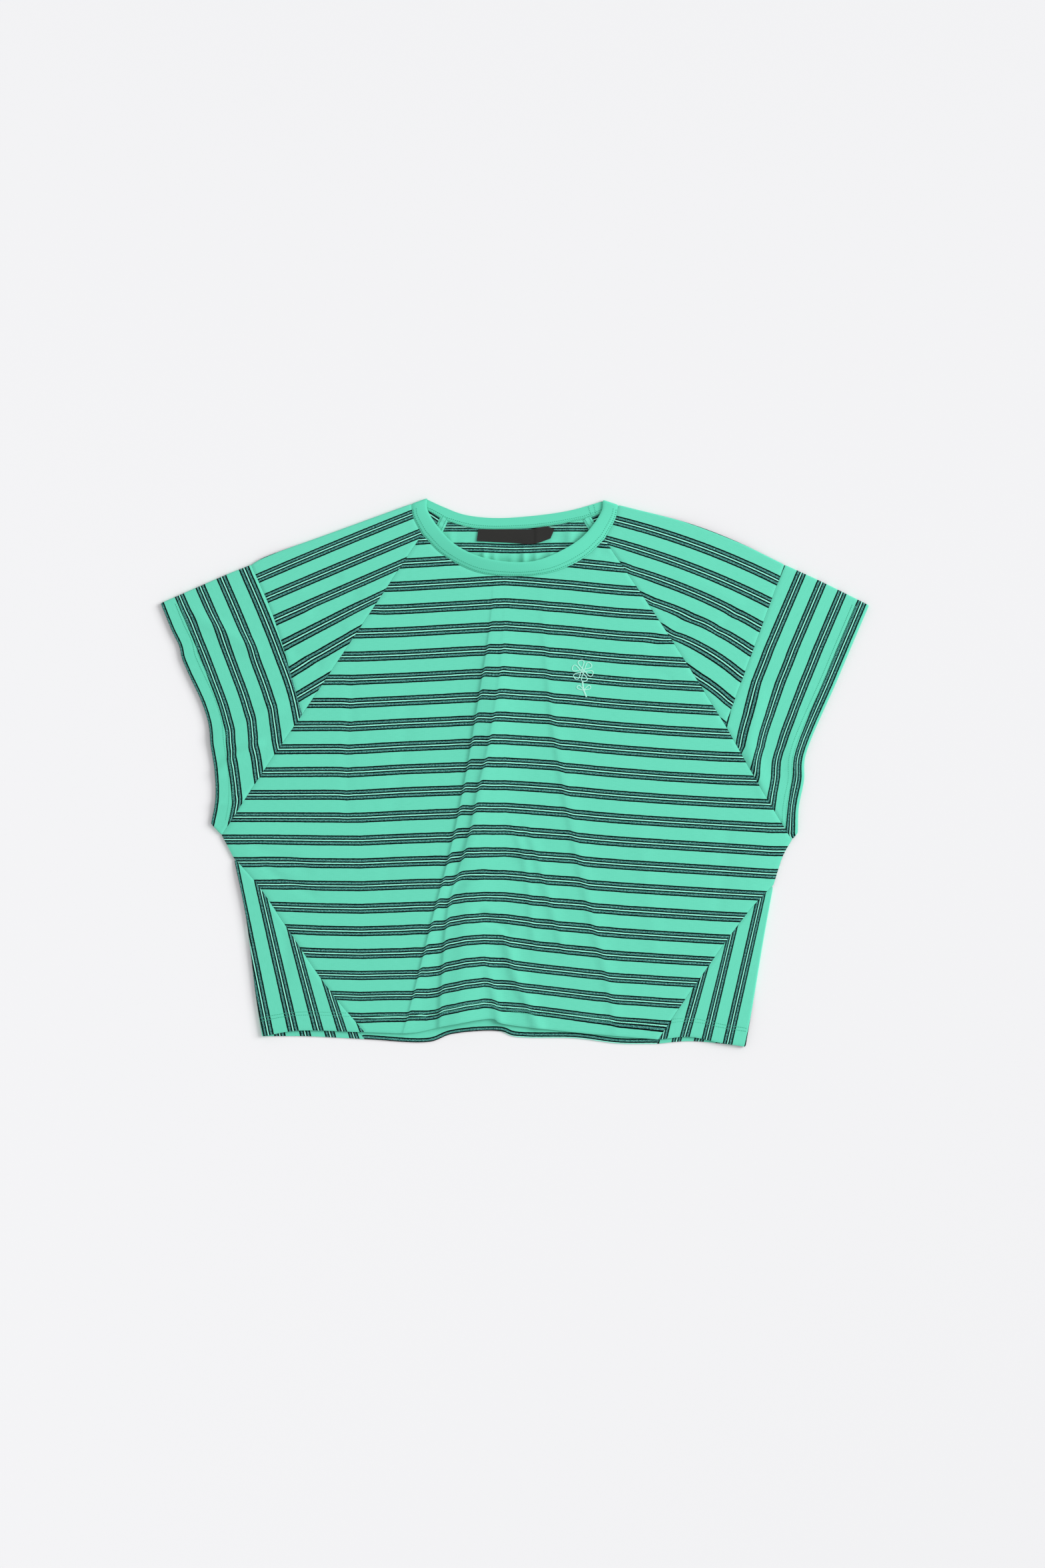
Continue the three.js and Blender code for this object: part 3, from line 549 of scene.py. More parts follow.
def makeCloth(name, sheet, edges, material, ring=False):
    # a closed thin shell on a sheet of places; a ring's last row joins its first
    sheet = roundEdges(sheet, edges)
    rows, columns = sheet["outer"].shape[:2]
    outer = sheet["outer"].reshape(-1, 3)
    inner = outer - sheet["out"].reshape(-1, 3) * sheet["wall"].reshape(-1, 1)
    pattern = sheet["pattern"].reshape(-1, 2)
    count = rows * columns
    index = np.arange(count).reshape(rows, columns)
    index = np.vstack([index, index[:1]]) if ring else index
    a, b, c, d = index[:-1, :-1], index[:-1, 1:], index[1:, 1:], index[1:, :-1]
    faces = np.stack([a, b, c, d], axis=-1).reshape(-1, 4)
    borders = [np.stack([index[1:, 0], index[:-1, 0]], axis=-1),
               np.stack([index[:-1, -1], index[1:, -1]], axis=-1)]
    if not ring:
        borders += [np.stack([index[0, :-1], index[0, 1:]], axis=-1),
                    np.stack([index[-1, 1:], index[-1, :-1]], axis=-1)]
    border = np.vstack(borders)
    rim = np.stack([border[:, 1], border[:, 0], border[:, 0] + count, border[:, 1] + count], axis=-1)
    allFaces = np.vstack([faces, faces[:, ::-1] + count, rim])
    points = np.vstack([outer, inner])
    p, q, r = (outer[faces[:, k]] for k in (0, 1, 2))
    facing = (np.cross(q - p, r - p) * sheet["out"].reshape(-1, 3)[faces[:, 0]]).sum()
    if facing < 0:
        allFaces = allFaces[:, ::-1]
    mesh = bpy.data.meshes.new(name)
    mesh.from_pydata((points * millimetre).tolist(), [], allFaces.tolist())
    layer = mesh.uv_layers.new(name="cloth")
    layer.data.foreach_set("uv", np.vstack([pattern, pattern])[allFaces.reshape(-1)].reshape(-1))
    mesh.materials.append(material)
    mesh.shade_smooth()
    mesh.set_sharp_from_angle(angle=math.radians(55))
    piece = bpy.data.objects.new(name, mesh)
    bpy.context.collection.objects.link(piece)
    return piece


class Wire:
    # a shader socket that takes part in Python arithmetic
    def __init__(self, tree, socket=None):
        self.tree = tree
        self.socket = socket

    def make(self, kind, settings=None, inputs=None, output=0):
        node = self.tree.nodes.new(kind)
        for key, value in (settings or {}).items():
            if key == "stops":
                ramp = node.color_ramp.elements
                for spot, (place, colour) in enumerate(value):
                    stop = ramp[spot] if spot < 2 else ramp.new(place)
                    stop.position, stop.color = place, colour
            else:
                setattr(node, key, value)
        for key, value in (inputs or {}).items():
            if isinstance(value, Wire):
                self.tree.links.new(value.socket, node.inputs[key])
            else:
                node.inputs[key].default_value = value
        return Wire(self.tree, node.outputs[output] if node.outputs else None)

    def math(self, operation, *values):
        return self.make("ShaderNodeMath", {"operation": operation}, dict(enumerate(values)))

    def __add__(self, other):
        return self.math("ADD", self, other)

    def __sub__(self, other):
        return self.math("SUBTRACT", self, other)

    def __rsub__(self, other):
        return self.math("SUBTRACT", other, self)

    def __mul__(self, other):
        return self.math("MULTIPLY", self, other)

    def __truediv__(self, other):
        return self.math("DIVIDE", self, other)

    __radd__ = __add__
    __rmul__ = __mul__

    def wave(self, length):
        return self.math("SINE", self * (2 * math.pi / length))

    def beyond(self, edge, soft):
        # 0 below the edge and 1 above it
        return self.make("ShaderNodeMapRange", {"interpolation_type": "SMOOTHSTEP"},
                         {"Value": self, "From Min": edge - soft, "From Max": edge + soft})

    def mix(self, first, second):
        # this wire is the share of the second colour
        return self.make("ShaderNodeMix", {"data_type": "RGBA"}, {0: self, 6: first, 7: second}, 2)

    def noise(self, vector, scale, detail=2.0):
        return self.make("ShaderNodeTexNoise", {}, {"Vector": vector, "Scale": scale, "Detail": detail})


def paint(red, green, blue):
    # a colour as it shows on a screen, made linear
    values = [c / 255 for c in (red, green, blue)]
    return tuple(c / 12.92 if c <= 0.04045 else ((c + 0.055) / 1.055) ** 2.4 for c in values) + (1.0,)


def newMaterial(name):
    material = bpy.data.materials.new(name)
    material.use_nodes = True
    material.node_tree.nodes.clear()
    return material, Wire(material.node_tree)


def finishMaterial(material, wire, colour, roughness, bump, strength, sheen):
    normal = wire.make("ShaderNodeBump", {}, {"Strength": strength, "Distance": 0.0004, "Height": bump})
    shader = wire.make("ShaderNodeBsdfPrincipled", {}, {
        "Base Color": colour, "Roughness": roughness, "Normal": normal,
        "Sheen Weight": sheen, "Sheen Roughness": 0.5, "Specular IOR Level": 0.06})
    wire.make("ShaderNodeOutputMaterial", {}, {"Surface": shader})
    return material


def patternWires(wire):
    # the piece's own pattern map, as millimetres along and across the stripes
    uv = wire.make("ShaderNodeUVMap", {"uv_map": "cloth"})
    parts = wire.tree.nodes.new("ShaderNodeSeparateXYZ")
    wire.tree.links.new(uv.socket, parts.inputs[0])
    return uv, Wire(wire.tree, parts.outputs[0]), Wire(wire.tree, parts.outputs[1])


jersey = {
    "green": paint(106, 216, 186), "greenWorn": paint(96, 206, 175),
    "dark": paint(0, 8, 8), "heatherDark": paint(26, 98, 90), "heatherPale": paint(104, 173, 163),
    "mint": paint(146, 240, 216),
    "mintEdge": 0.53, "innerDark": 1.85, "heatherEdge": 3.62, "outerDark": 4.98, "soft": 0.2,
    "wale": 0.95, "course": 0.72,
}


def makeJersey():
    material, wire = newMaterial("stripedJersey")
    uv, u, v = patternWires(wire)
    along, across = u * stripe["repeat"], v * stripe["repeat"]
    wander = wire.noise(uv, 7.0) - 0.5
    level = v + wander * 0.02 + 0.5
    aside = (wire.math("FRACT", level) - 0.5) * stripe["repeat"]
    fromMiddle = wire.math("ABSOLUTE", aside)
    grain = wire.make("ShaderNodeCombineXYZ", {}, {0: along * 0.4, 1: across * 1.5})
    flecks = wire.noise(grain, 1.5, 3.0).beyond(0.52, 0.12)
    heather = flecks.mix(jersey["heatherDark"], jersey["heatherPale"])
    streak = wire.make("ShaderNodeCombineXYZ", {}, {0: along * 0.16, 1: across * 1.3})
    worn = wire.noise(streak, 1.0, 4.0).beyond(0.52, 0.2)
    ground = (worn * 0.4).mix(jersey["green"], jersey["greenWorn"])
    soft = jersey["soft"]
    colour = fromMiddle.beyond(jersey["mintEdge"], soft).mix(jersey["mint"], jersey["dark"])
    colour = fromMiddle.beyond(jersey["innerDark"], soft).mix(colour, heather)
    colour = fromMiddle.beyond(jersey["heatherEdge"], soft).mix(colour, jersey["dark"])
    colour = fromMiddle.beyond(jersey["outerDark"], soft).mix(colour, ground)
    loops = along.wave(jersey["wale"]) * 0.5 + (across + along.wave(jersey["wale"]) * 0.18).wave(
        jersey["course"]) * 0.4
    fuzz = wire.noise(uv, 90.0, 3.0)
    return finishMaterial(material, wire, colour, 0.88, loops * 0.3 + fuzz * 1.2, 0.24, 0.02)


rib = {"green": paint(101, 215, 183), "shade": paint(92, 206, 173), "pitch": 1.05}


def makeRib():
    material, wire = newMaterial("ribKnit")
    uv, u, v = patternWires(wire)
    along, across = u * stripe["repeat"], v * stripe["repeat"]
    ridge = along.wave(rib["pitch"])
    # the valleys between the ribs are painted darker: painted shade
    valley = (0.0 - ridge).beyond(0.35, 0.6)
    colour = (valley * 0.3).mix(rib["green"], rib["shade"])
    bump = ridge * 0.42 + across.wave(0.8) * 0.15 + wire.noise(uv, 80.0, 3.0) * 1.0
    return finishMaterial(material, wire, colour, 0.88, bump, 0.2, 0.02)


ribbon = {"black": paint(44, 44, 43), "thread": paint(60, 60, 58), "pitch": 0.45}


def makeRibbon():
    material, wire = newMaterial("labelRibbon")
    uv, u, v = patternWires(wire)
    along, across = u * stripe["repeat"], v * stripe["repeat"]
    weave = along.wave(ribbon["pitch"]) * across.wave(ribbon["pitch"] * 0.8)
    colour = weave.beyond(0.4, 0.5).mix(ribbon["black"], ribbon["thread"])
    return finishMaterial(material, wire, colour, 0.6, weave, 0.3, 0.0)


thread = {
    "sewing": paint(116, 224, 194), "sewingDeep": paint(84, 198, 166),
    # the two hole colours are painted shade: the dark dots where the needle holes lie
    "holeShade": paint(58, 164, 136), "holeShadeDeep": paint(44, 138, 114),
    "flower": paint(204, 250, 238), "flowerDeep": paint(160, 232, 212),
}


def makeThread(name, pale, deep):
    material, wire = newMaterial(name)
    place = wire.make("ShaderNodeTexCoord", {}, {}, 3)
    ply = wire.noise(place, 2600.0, 1.0)
    colour = ply.beyond(0.5, 0.25).mix(deep, pale)
    return finishMaterial(material, wire, colour, 0.6, ply, 0.4, 0.05)


jerseyCloth = makeJersey()
ribCloth = makeRib()
ribbonCloth = makeRibbon()
sewingThread = makeThread("sewingThread", thread["sewing"], thread["sewingDeep"])
# the needle-hole material paints the shade inside the needle holes
needleHoleShade = makeThread("needleHoleShade", thread["holeShade"], thread["holeShadeDeep"])
flowerThread = makeThread("flowerThread", thread["flower"], thread["flowerDeep"])
print("materials made")


def sideEdges(name):
    # the folded edges of one side, and the seams that start from them
    side = sides[name]

    def way(a, b):
        return (b - a) / np.linalg.norm(b - a)
    neckWay = way(side["neckEnd"][0], side["neckEnd"][1])
    bandWay = way(side["bandSeam"][0], side["bandSeam"][1])
    cuffWay = way(side["cuff"][0], side["cuff"][1])
    ribShares, yokeShares, bandShares = even(10), edged(56, 170), edged(30, 95)
    edges = {
        "ribShares": ribShares, "yokeShares": yokeShares, "bandShares": bandShares,
        "neckFold": foldEdge(walk(side["topFold"], ribShares, 0, 1), neckWay, neckWay),
        "yokeFold": foldEdge(walk(side["topFold"], yokeShares, 1, 4), neckWay, bandWay),
        "bandFold": foldEdge(walk(side["topFold"], bandShares, 4, 6), bandWay, cuffWay),
        "underarmFold": foldEdge(
            walk(np.vstack([side["armSeam"][-1], side["cuff"][-1]]), bandShares),
            way(side["armSeam"][-1], side["armSeam"][-2]), way(side["cuff"][-1], side["cuff"][-2])),
    }
    corner = edges["yokeFold"]["inner"][0]
    bandCorner = edges["bandFold"]["inner"][0]
    edges["endShares"] = edged(30, 33, start=False)
    edges["seamShares"] = edged(60, 155, start=False)
    edges["neckEnd"] = np.vstack([corner, side["neckEnd"][1:]])
    edges["backNeckEnd"] = np.vstack([corner, side["backNeckEnd"][1:]])
    edges["bandSeam"] = np.vstack([bandCorner, side["bandSeam"][1:]])
    return edges


edges = {name: sideEdges(name) for name in sides}
bodyRows = {"raglan": even(62), "arm": even(42), "side": even(8), "gore": even(62)}


def bodyEdge(name, raglan, gore):
    # the long edge of a body panel, from the neck to the hem
    side = sides[name]
    parts = [walk(side[raglan], bodyRows["raglan"]), walk(side["armSeam"], bodyRows["arm"])[1:],
             walk(side["sideSeam"], bodyRows["side"])[1:], walk(side[gore], bodyRows["gore"])[1:]]
    return np.vstack(parts)


def bodyPanel(neck, hem, raglan, gore, columns):
    left, right = (bodyEdge(name, raglan, gore) for name in ("left", "right"))
    reach = (lengthsAlong(left) + lengthsAlong(right)) / 2
    v = reach / reach[-1]
    # rows close to the neck seam and the hem
    extra = edged(len(v) - 1, reach[-1])
    v2 = np.unique(np.round(np.concatenate([v, extra[:4], extra[-4:]]), 6))
    v2 = np.delete(v2, np.where(np.diff(v2) * reach[-1] < 0.35)[0] + 1)
    v2[-1] = 1.0
    left, right = (np.stack([np.interp(v2, v, side[:, k]) for k in (0, 1)], axis=1) for side in (left, right))
    u = edged(columns, 400)
    return fill(walk(neck, u), walk(hem, u), left, right, u, v2)


def creaseColumns():
    # places across the front: 0 and 4 at its sides, and 1, 2 and 3 on the first three creases
    return np.concatenate([
        [0, 0.0025, 0.0055, 0.01], np.linspace(0.025, 0.96, 44), [0.972, 0.981, 0.988, 0.9925, 0.9955, 0.998],
        1 + np.array([0, 0.03, 0.07, 0.13, 0.22, 0.35, 0.5, 0.62, 0.72, 0.79, 0.85, 0.9, 0.94, 0.97]),
        2 + np.array([0, 0.008, 0.02, 0.035, 0.055, 0.08]), 2 + np.linspace(0.1, 0.98, 42),
        3 + np.linspace(0, 0.975, 42), 3 + np.array([0.99, 0.9945, 0.9975, 1.0])])


def alongCreases(flat, u):
    # moves the columns of a grid along its rows, so that some of them follow the creases
    columns = creaseColumns()
    moved = np.empty((len(flat), len(columns), 2))
    for k, row in enumerate(flat):
        marks = [0.0]
        for one in creases[:3]:
            creaseX = np.interp(row[:, 1], one["path"][:, 1], one["path"][:, 0])
            marks.append(float(np.interp(0, row[:, 0] - creaseX, u)))
        places = np.interp(columns, range(5), marks + [1.0])
        moved[k] = np.stack([np.interp(places, u, row[:, axis]) for axis in (0, 1)], axis=1)
    return moved


def makeFrontPanel():
    flat = bodyPanel(frontNeck, frontHem, "raglan", "goreSeam", 300)
    flat = alongCreases(flat, edged(300, 400))
    sheet = frontSheet(flat, frontPattern)
    return makeCloth("frontPanel", sheet, {"top": "seam", "left": "seam", "right": "seam", "bottom": "hem"},
                     jerseyCloth)


def makeBackPanel():
    flat = bodyPanel(backNeck, backHem, "backRaglan", "backGoreSeam", 110)
    sheet = backSheet(flat, backPattern)
    aside = flat[..., 1] - neckRidge["y"]
    aside = aside / np.where(aside > 0, neckRidge["above"], neckRidge["below"])
    swell = neckRidge["height"] * np.exp(-aside ** 2 - (flat[..., 0] / neckRidge["halfLength"]) ** 4)
    for x, high, low, halfWidth, height in neckFolds:
        reach = (flat[..., 1] - low) / (high - low)
        fade = smoothstep(reach, -0.5, 0.3) * smoothstep(1 - reach, -0.5, 0.3)
        swell = swell + height * fade * np.exp(-((flat[..., 0] - x) / halfWidth) ** 2)
    sheet["wall"] = sheet["wall"] + swell
    return makeCloth("backPanel", sheet, {"top": "seam", "left": "seam", "right": "seam", "bottom": "hem"},
                     jerseyCloth)


def mirrored(pattern, edge):
    # the pattern of the back half of a piece whose stripes run along its fold
    stops, atStops = edge["stop"], pattern(edge["stop"])[:, 1]

    def backHalf(places):
        own = pattern(places)
        nearest = np.argmin(np.hypot(places[..., None, 0] - stops[:, 0], places[..., None, 1] - stops[:, 1]),
                            axis=-1)
        own[..., 1] = 2 * atStops[nearest] - own[..., 1]
        return own
    return backHalf


# The stripe of each shoulder's back that shows inside the neck: x and y of its ends.
innerStripes = {"left": [-84.5, 252.7, -72.3, 244.5], "right": [70, 243.5, 88, 250.5]}


def withInnerStripe(pattern, name):
    ends = np.array(innerStripes[name]).reshape(2, 2)
    middle = ends.mean(axis=0)
    way = (ends[1] - ends[0]) / np.linalg.norm(ends[1] - ends[0])
    whole = np.round(pattern(middle[None])[0, 1])

    def changed(places):
        own = pattern(places)
        offset = places[..., :2] - middle
        share = smoothstep(-np.linalg.norm(offset, axis=-1), -17, -11)
        past = (way[0] * offset[..., 1] - way[1] * offset[..., 0]) / stripe["repeat"]
        own[..., 1] = own[..., 1] * (1 - share) + (whole + past) * share
        return own
    return changed


def makeShoulder(name):
    edge, side = edges[name], sides[name]
    fold = edge["yokeFold"]
    u, v = edge["yokeShares"], edge["seamShares"]
    pattern = linePattern(name + "Shoulder")
    backHalf = mirrored(pattern, fold)
    front = fill(fold["inner"], walk(side["raglan"], u), walk(edge["neckEnd"], v), walk(edge["bandSeam"], v), u, v)
    back = fill(fold["inner"], walk(side["backRaglan"], u), walk(edge["backNeckEnd"], v),
                walk(edge["bandSeam"], v), u, v)
    sheet = joinSheets(flipSheet(frontSheet(front, pattern)),
                       rollSheet(fold, pattern(fold["inner"]), backHalf(fold["inner"])),
                       backSheet(back, withInnerStripe(backHalf, name)))
    return makeCloth(name + "Shoulder", sheet, {k: "seam" for k in ("top", "bottom", "left", "right")},
                     jerseyCloth)


def makeSleeveBand(name):
    edge, side = edges[name], sides[name]
    top, bottom = edge["bandFold"], edge["underarmFold"]
    seam = np.vstack([walk(edge["bandSeam"], even(50)), walk(side["armSeam"], even(44))[1:-1],
                      bottom["inner"][:1]])
    cuff = np.vstack([top["inner"][-1:], side["cuff"][1:-1], bottom["inner"][-1:]])
    v = lengthsAlong(seam) / lengthsAlong(seam)[-1]
    u = edge["bandShares"]
    pattern = cuffPattern(name)
    flat = fill(top["inner"], bottom["inner"], seam, walk(cuff, v), u, v)
    sheet = joinSheets(
        flipSheet(frontSheet(flat, pattern)), rollSheet(top, pattern(top["inner"]), pattern(top["inner"])),
        backSheet(flat, pattern),
        flipSheet(rollSheet(bottom, pattern(bottom["inner"]), pattern(bottom["inner"]))))
    return makeCloth(name + "SleeveBand", sheet, {"left": "seam", "right": "hem"}, jerseyCloth, ring=True)


def makeGore(name):
    side = sides[name]
    rows, u = edged(62, 180), edged(24, 60, start=False)
    start = side["sideFold"][0] * (1 - goreCut["fold"]) + side["sideFold"][1] * goreCut["fold"]
    foldRows = np.vstack([start, side["sideFold"][1:]])

    def way(a, b):
        return (b - a) / np.linalg.norm(b - a)
    fold = foldEdge(walk(foldRows, rows), way(side["sideFold"][0], side["goreSeam"][1]),
                    way(side["goreHem"][0], side["goreHem"][1]))
    pattern = linePattern(name + "Gore")
    backHalf = mirrored(pattern, fold)

    def layer(seamName, hemName):
        seam = walk(side[seamName], goreCut["seam"] + rows * (1 - goreCut["seam"]))
        top = np.vstack([fold["inner"][0], seam[0]])
        hem = np.vstack([fold["inner"][-1], side[hemName][1:]])
        grid = fill(walk(top, u), walk(hem, u), fold["inner"], seam, u, rows)
        return np.swapaxes(grid, 0, 1)
    sheet = joinSheets(
        flipSheet(frontSheet(layer("goreSeam", "goreHem"), pattern)),
        rollSheet(fold, pattern(fold["inner"]), backHalf(fold["inner"])),
        backSheet(layer("backGoreSeam", "backGoreHem"), backHalf))
    return makeCloth(name + "Gore", sheet, {"top": "seam", "bottom": "seam", "left": "seam", "right": "hem"},
                     jerseyCloth)


def bandLines(count):
    # the neckband's seam and free edge, front and back, as matching places from left to right
    leftEdge, rightEdge = edges["left"], edges["right"]
    tips = [leftEdge["neckFold"]["inner"][0], rightEdge["neckFold"]["inner"][0]]

    def whole(leftEnd, middle, rightEnd, total):
        points = np.vstack([walk(leftEnd, even(40)), walk(middle, even(200))[1:-1],
                            walk(rightEnd, even(40))[::-1]])
        reach = lengthsAlong(points)
        return np.stack([np.interp(even(total) * reach[-1], reach, points[:, k]) for k in (0, 1)], axis=1)

    def free(rows, total):
        return walk(np.vstack([tips[0], rows[1:-1], tips[1]]), even(total))
    frontSeam = whole(leftEdge["neckEnd"], frontNeck, rightEdge["neckEnd"], count)
    backSeam = whole(leftEdge["backNeckEnd"], backNeck, rightEdge["backNeckEnd"], count * 2 // 3)
    return frontSeam, free(frontRibEdge, count), backSeam, free(backRibEdge, count * 2 // 3)


def frontBandHeight(flat, station, share):
    # share is 0 at the free edge and 1 at the seam
    return topAt(flat) + cloth["neckLift"] * np.sin(math.pi * station) * (1 - share)


def makeNeckband():
    frontSeam, frontEdge, backSeam, backEdge = bandLines(240)
    across = edged(12, 14.6)

    def layer(seam, edge):
        return edge[:, None] * (1 - across[None, :, None]) + seam[:, None] * across[None, :, None]

    def ribPattern(flat, total, start):
        along = np.broadcast_to((start + even(len(flat) - 1) * total)[:, None], flat.shape[:2])
        over = np.broadcast_to(across[None] * 14.6, flat.shape[:2])
        return np.stack([along, over], axis=-1) / stripe["repeat"]
    front, back = layer(frontSeam, frontEdge), layer(backSeam, backEdge)
    frontLength, backLength = (float(lengthsAlong(points)[-1]) for points in (frontSeam, backSeam))
    turn = 8.0      # rib that goes round each tip
    frontPlaces = frontSheet(front, lambda flat: ribPattern(flat, frontLength, 0), cloth["ribWall"])
    station = even(len(front) - 1)[:, None]
    frontPlaces["outer"][..., 2] = frontBandHeight(front, station, across[None])
    frontPlaces["outer"][..., 2] += 0.35 * np.sin(math.pi * across)[None]
    backPlaces = backSheet(back[::-1], lambda flat: ribPattern(flat, backLength, frontLength + turn),
                           cloth["ribWall"])

    def roll(name, start):
        fold = edges[name]["neckFold"]
        over = np.stack([np.full(len(fold["stop"]), start), even(len(fold["stop"]) - 1) * 14.6], axis=-1)
        sheet = rollSheet(fold, over / stripe["repeat"], (over + [turn, 0]) / stripe["repeat"],
                          cloth["ribWall"])
        spread = {key: np.stack([np.interp(across, edges[name]["ribShares"], row) for row in
                                 np.moveaxis(grid, 1, -1).reshape(-1, grid.shape[1])]) for key, grid in sheet.items()}
        shaped = {}
        for key, grid in sheet.items():
            rest = grid.shape[2:]
            shaped[key] = np.moveaxis(spread[key].reshape((grid.shape[0],) + rest + (len(across),)), -1, 1)
        return shaped
    sheet = joinSheets(frontPlaces, roll("right", frontLength), backPlaces,
                       flipSheet(roll("left", frontLength + backLength + turn)))
    return makeCloth("neckRib", sheet, {"left": "hem", "right": "seam"}, ribCloth, ring=True)


label = {
    "top": line([-35.6, 237.0], [-8, 236.9], [14.6, 237.0], [32.0, 239.6], [38.6, 236.9]),
    "bottom": line([-37.2, 225.4], [-8, 224.0], [19.2, 223], [34.8, 228]),
    "height": 1.8, "wall": 0.6, "foldX": 20, "foldLift": 0.7, "bow": 0.35,
}


def makeLabel():
    u, v = even(60), even(14)
    top, bottom = walk(label["top"], u), walk(label["bottom"], u)
    flat = top[None] * (1 - v[:, None, None]) + bottom[None] * v[:, None, None]
    raised = label["foldLift"] * smoothstep(flat[..., 0], label["foldX"] - 1, label["foldX"] + 1)
    bow = label["bow"] * np.sin(flat[..., 0] / 9.0) * v[:, None]
    outer = np.concatenate([flat, (label["height"] + label["wall"] + raised + np.maximum(bow, 0))[..., None]],
                           axis=-1)
    sheet = {"outer": outer, "out": np.broadcast_to(np.array([0, 0, 1.0]), outer.shape).copy(),
             "wall": np.full(flat.shape[:-1], label["wall"]), "pattern": flat / stripe["repeat"]}
    return makeCloth("neckLabel", sheet, {}, ribbonCloth)


frontPanel = makeFrontPanel()
backPanel = makeBackPanel()
shoulders = {name: makeShoulder(name) for name in sides}
sleeveBands = {name: makeSleeveBand(name) for name in sides}
gores = {name: makeGore(name) for name in sides}
neckRib = makeNeckband()
neckLabel = makeLabel()
print("cloth pieces made")


# Stitches in millimetres: pitch, length and width of each, and the rows' distances from the edge.
stitch = {
    "hem": {"pitch": 1.75, "length": 1.2, "width": 0.46, "rows": [13.8, 16.9]},
    "cuff": {"left": [13.2, 16.4], "right": [11.7, 15.2]},
    "neck": {"pitch": 2.1, "length": 1.5, "width": 0.42, "shares": [0.09, 0.29], "backShare": 0.28},
    # size of the dark dots of painted shade at the needle holes
    "holeShade": {"length": 0.85, "width": 0.75},
    "overlock": {"pitch": 0.95, "length": 2.6, "width": 0.55, "turn": 1.05, "shares": [0.1]},
}


def stitchTree(name):
    # stitches along each line of a mesh: named inputs for their pitch, length, width and turn
    tree = bpy.data.node_groups.new(name, "GeometryNodeTree")
    tree.interface.new_socket("Geometry", in_out="INPUT", socket_type="NodeSocketGeometry")
    for key in ("Pitch", "Length", "Width", "Turn"):
        tree.interface.new_socket(key, in_out="INPUT", socket_type="NodeSocketFloat")
    tree.interface.new_socket("Material", in_out="INPUT", socket_type="NodeSocketMaterial")
    tree.interface.new_socket("Geometry", in_out="OUTPUT", socket_type="NodeSocketGeometry")
    wire = Wire(tree)
    given = tree.nodes.new("NodeGroupInput")
    pitch, length, width, turn = (Wire(tree, given.outputs[key]) for key in ("Pitch", "Length", "Width", "Turn"))
    curve = wire.make("GeometryNodeMeshToCurve", {}, {"Mesh": Wire(tree, given.outputs["Geometry"])})
    points = wire.make("GeometryNodeCurveToPoints", {"mode": "LENGTH"}, {"Curve": curve, "Length": pitch})
    tangent = Wire(tree, points.socket.node.outputs["Tangent"])
    size = wire.make("ShaderNodeCombineXYZ", {}, {0: length * 0.5, 1: width * 0.5, 2: width * 0.5})
    bead = wire.make("GeometryNodeMeshUVSphere", {}, {"Segments": 6, "Rings": 4, "Radius": 1.0})
    aligned = wire.make("FunctionNodeAlignRotationToVector", {"axis": "X"}, {"Vector": tangent})
    side = wire.make("GeometryNodeInputIndex")
    flip = (side.math("MODULO", side, 2.0) - 0.5) * turn
    spin = wire.make("ShaderNodeCombineXYZ", {}, {0: 0.0, 1: 0.0, 2: flip * 2.0})
    turned = wire.make("FunctionNodeRotateRotation", {"rotation_space": "LOCAL"},
                       {"Rotation": aligned, "Rotate By": spin})
    placed = wire.make("GeometryNodeInstanceOnPoints", {}, {
        "Points": points, "Instance": bead, "Rotation": turned, "Scale": size})
    real = wire.make("GeometryNodeRealizeInstances", {}, {"Geometry": placed})
    done = wire.make("GeometryNodeSetMaterial", {}, {
        "Geometry": real, "Material": Wire(tree, given.outputs["Material"])})
    result = tree.nodes.new("NodeGroupOutput")
    tree.links.new(done.socket, result.inputs[0])
    return tree


sewing = stitchTree("sewing")


def sew(name, lines, pitch, length, width, turn, material):
    # lines are lists of points in millimetres; each becomes a row of stitches
    points = np.vstack(lines) * millimetre
    starts = np.cumsum([0] + [len(row) for row in lines])
    joins = [(k, k + 1) for a, b in zip(starts, starts[1:]) for k in range(a, b - 1)]
    mesh = bpy.data.meshes.new(name + "Path")
    mesh.from_pydata(points.tolist(), joins, [])
    path = bpy.data.objects.new(name + "Path", mesh)
    bpy.context.collection.objects.link(path)
    modifier = path.modifiers.new("sewing", "NODES")
    modifier.node_group = sewing
    sockets = {item.name: item.identifier for item in sewing.interface.items_tree if item.in_out == "INPUT"}
    for key, value in (("Pitch", pitch), ("Length", length), ("Width", width)):
        modifier[sockets[key]] = value * millimetre
    modifier[sockets["Turn"]] = turn
    modifier[sockets["Material"]] = material
    ready = path.evaluated_get(bpy.context.evaluated_depsgraph_get())
    made = bpy.data.meshes.new_from_object(ready)
    made.name = name
    bpy.data.objects.remove(path)
    made.shade_smooth()
    piece = bpy.data.objects.new(name, made)
    bpy.context.collection.objects.link(piece)
    return piece


def inFrom(points, distance, flip):
    # a line moved sideways, as rows of stitches run beside a hem
    way = np.gradient(points, axis=0)
    way = way / np.linalg.norm(way, axis=1)[:, None]
    return points + np.stack([-way[:, 1], way[:, 0]], axis=1) * distance * flip


def onFront(flat):
    return np.concatenate([flat, topAt(flat)[:, None]], axis=1)


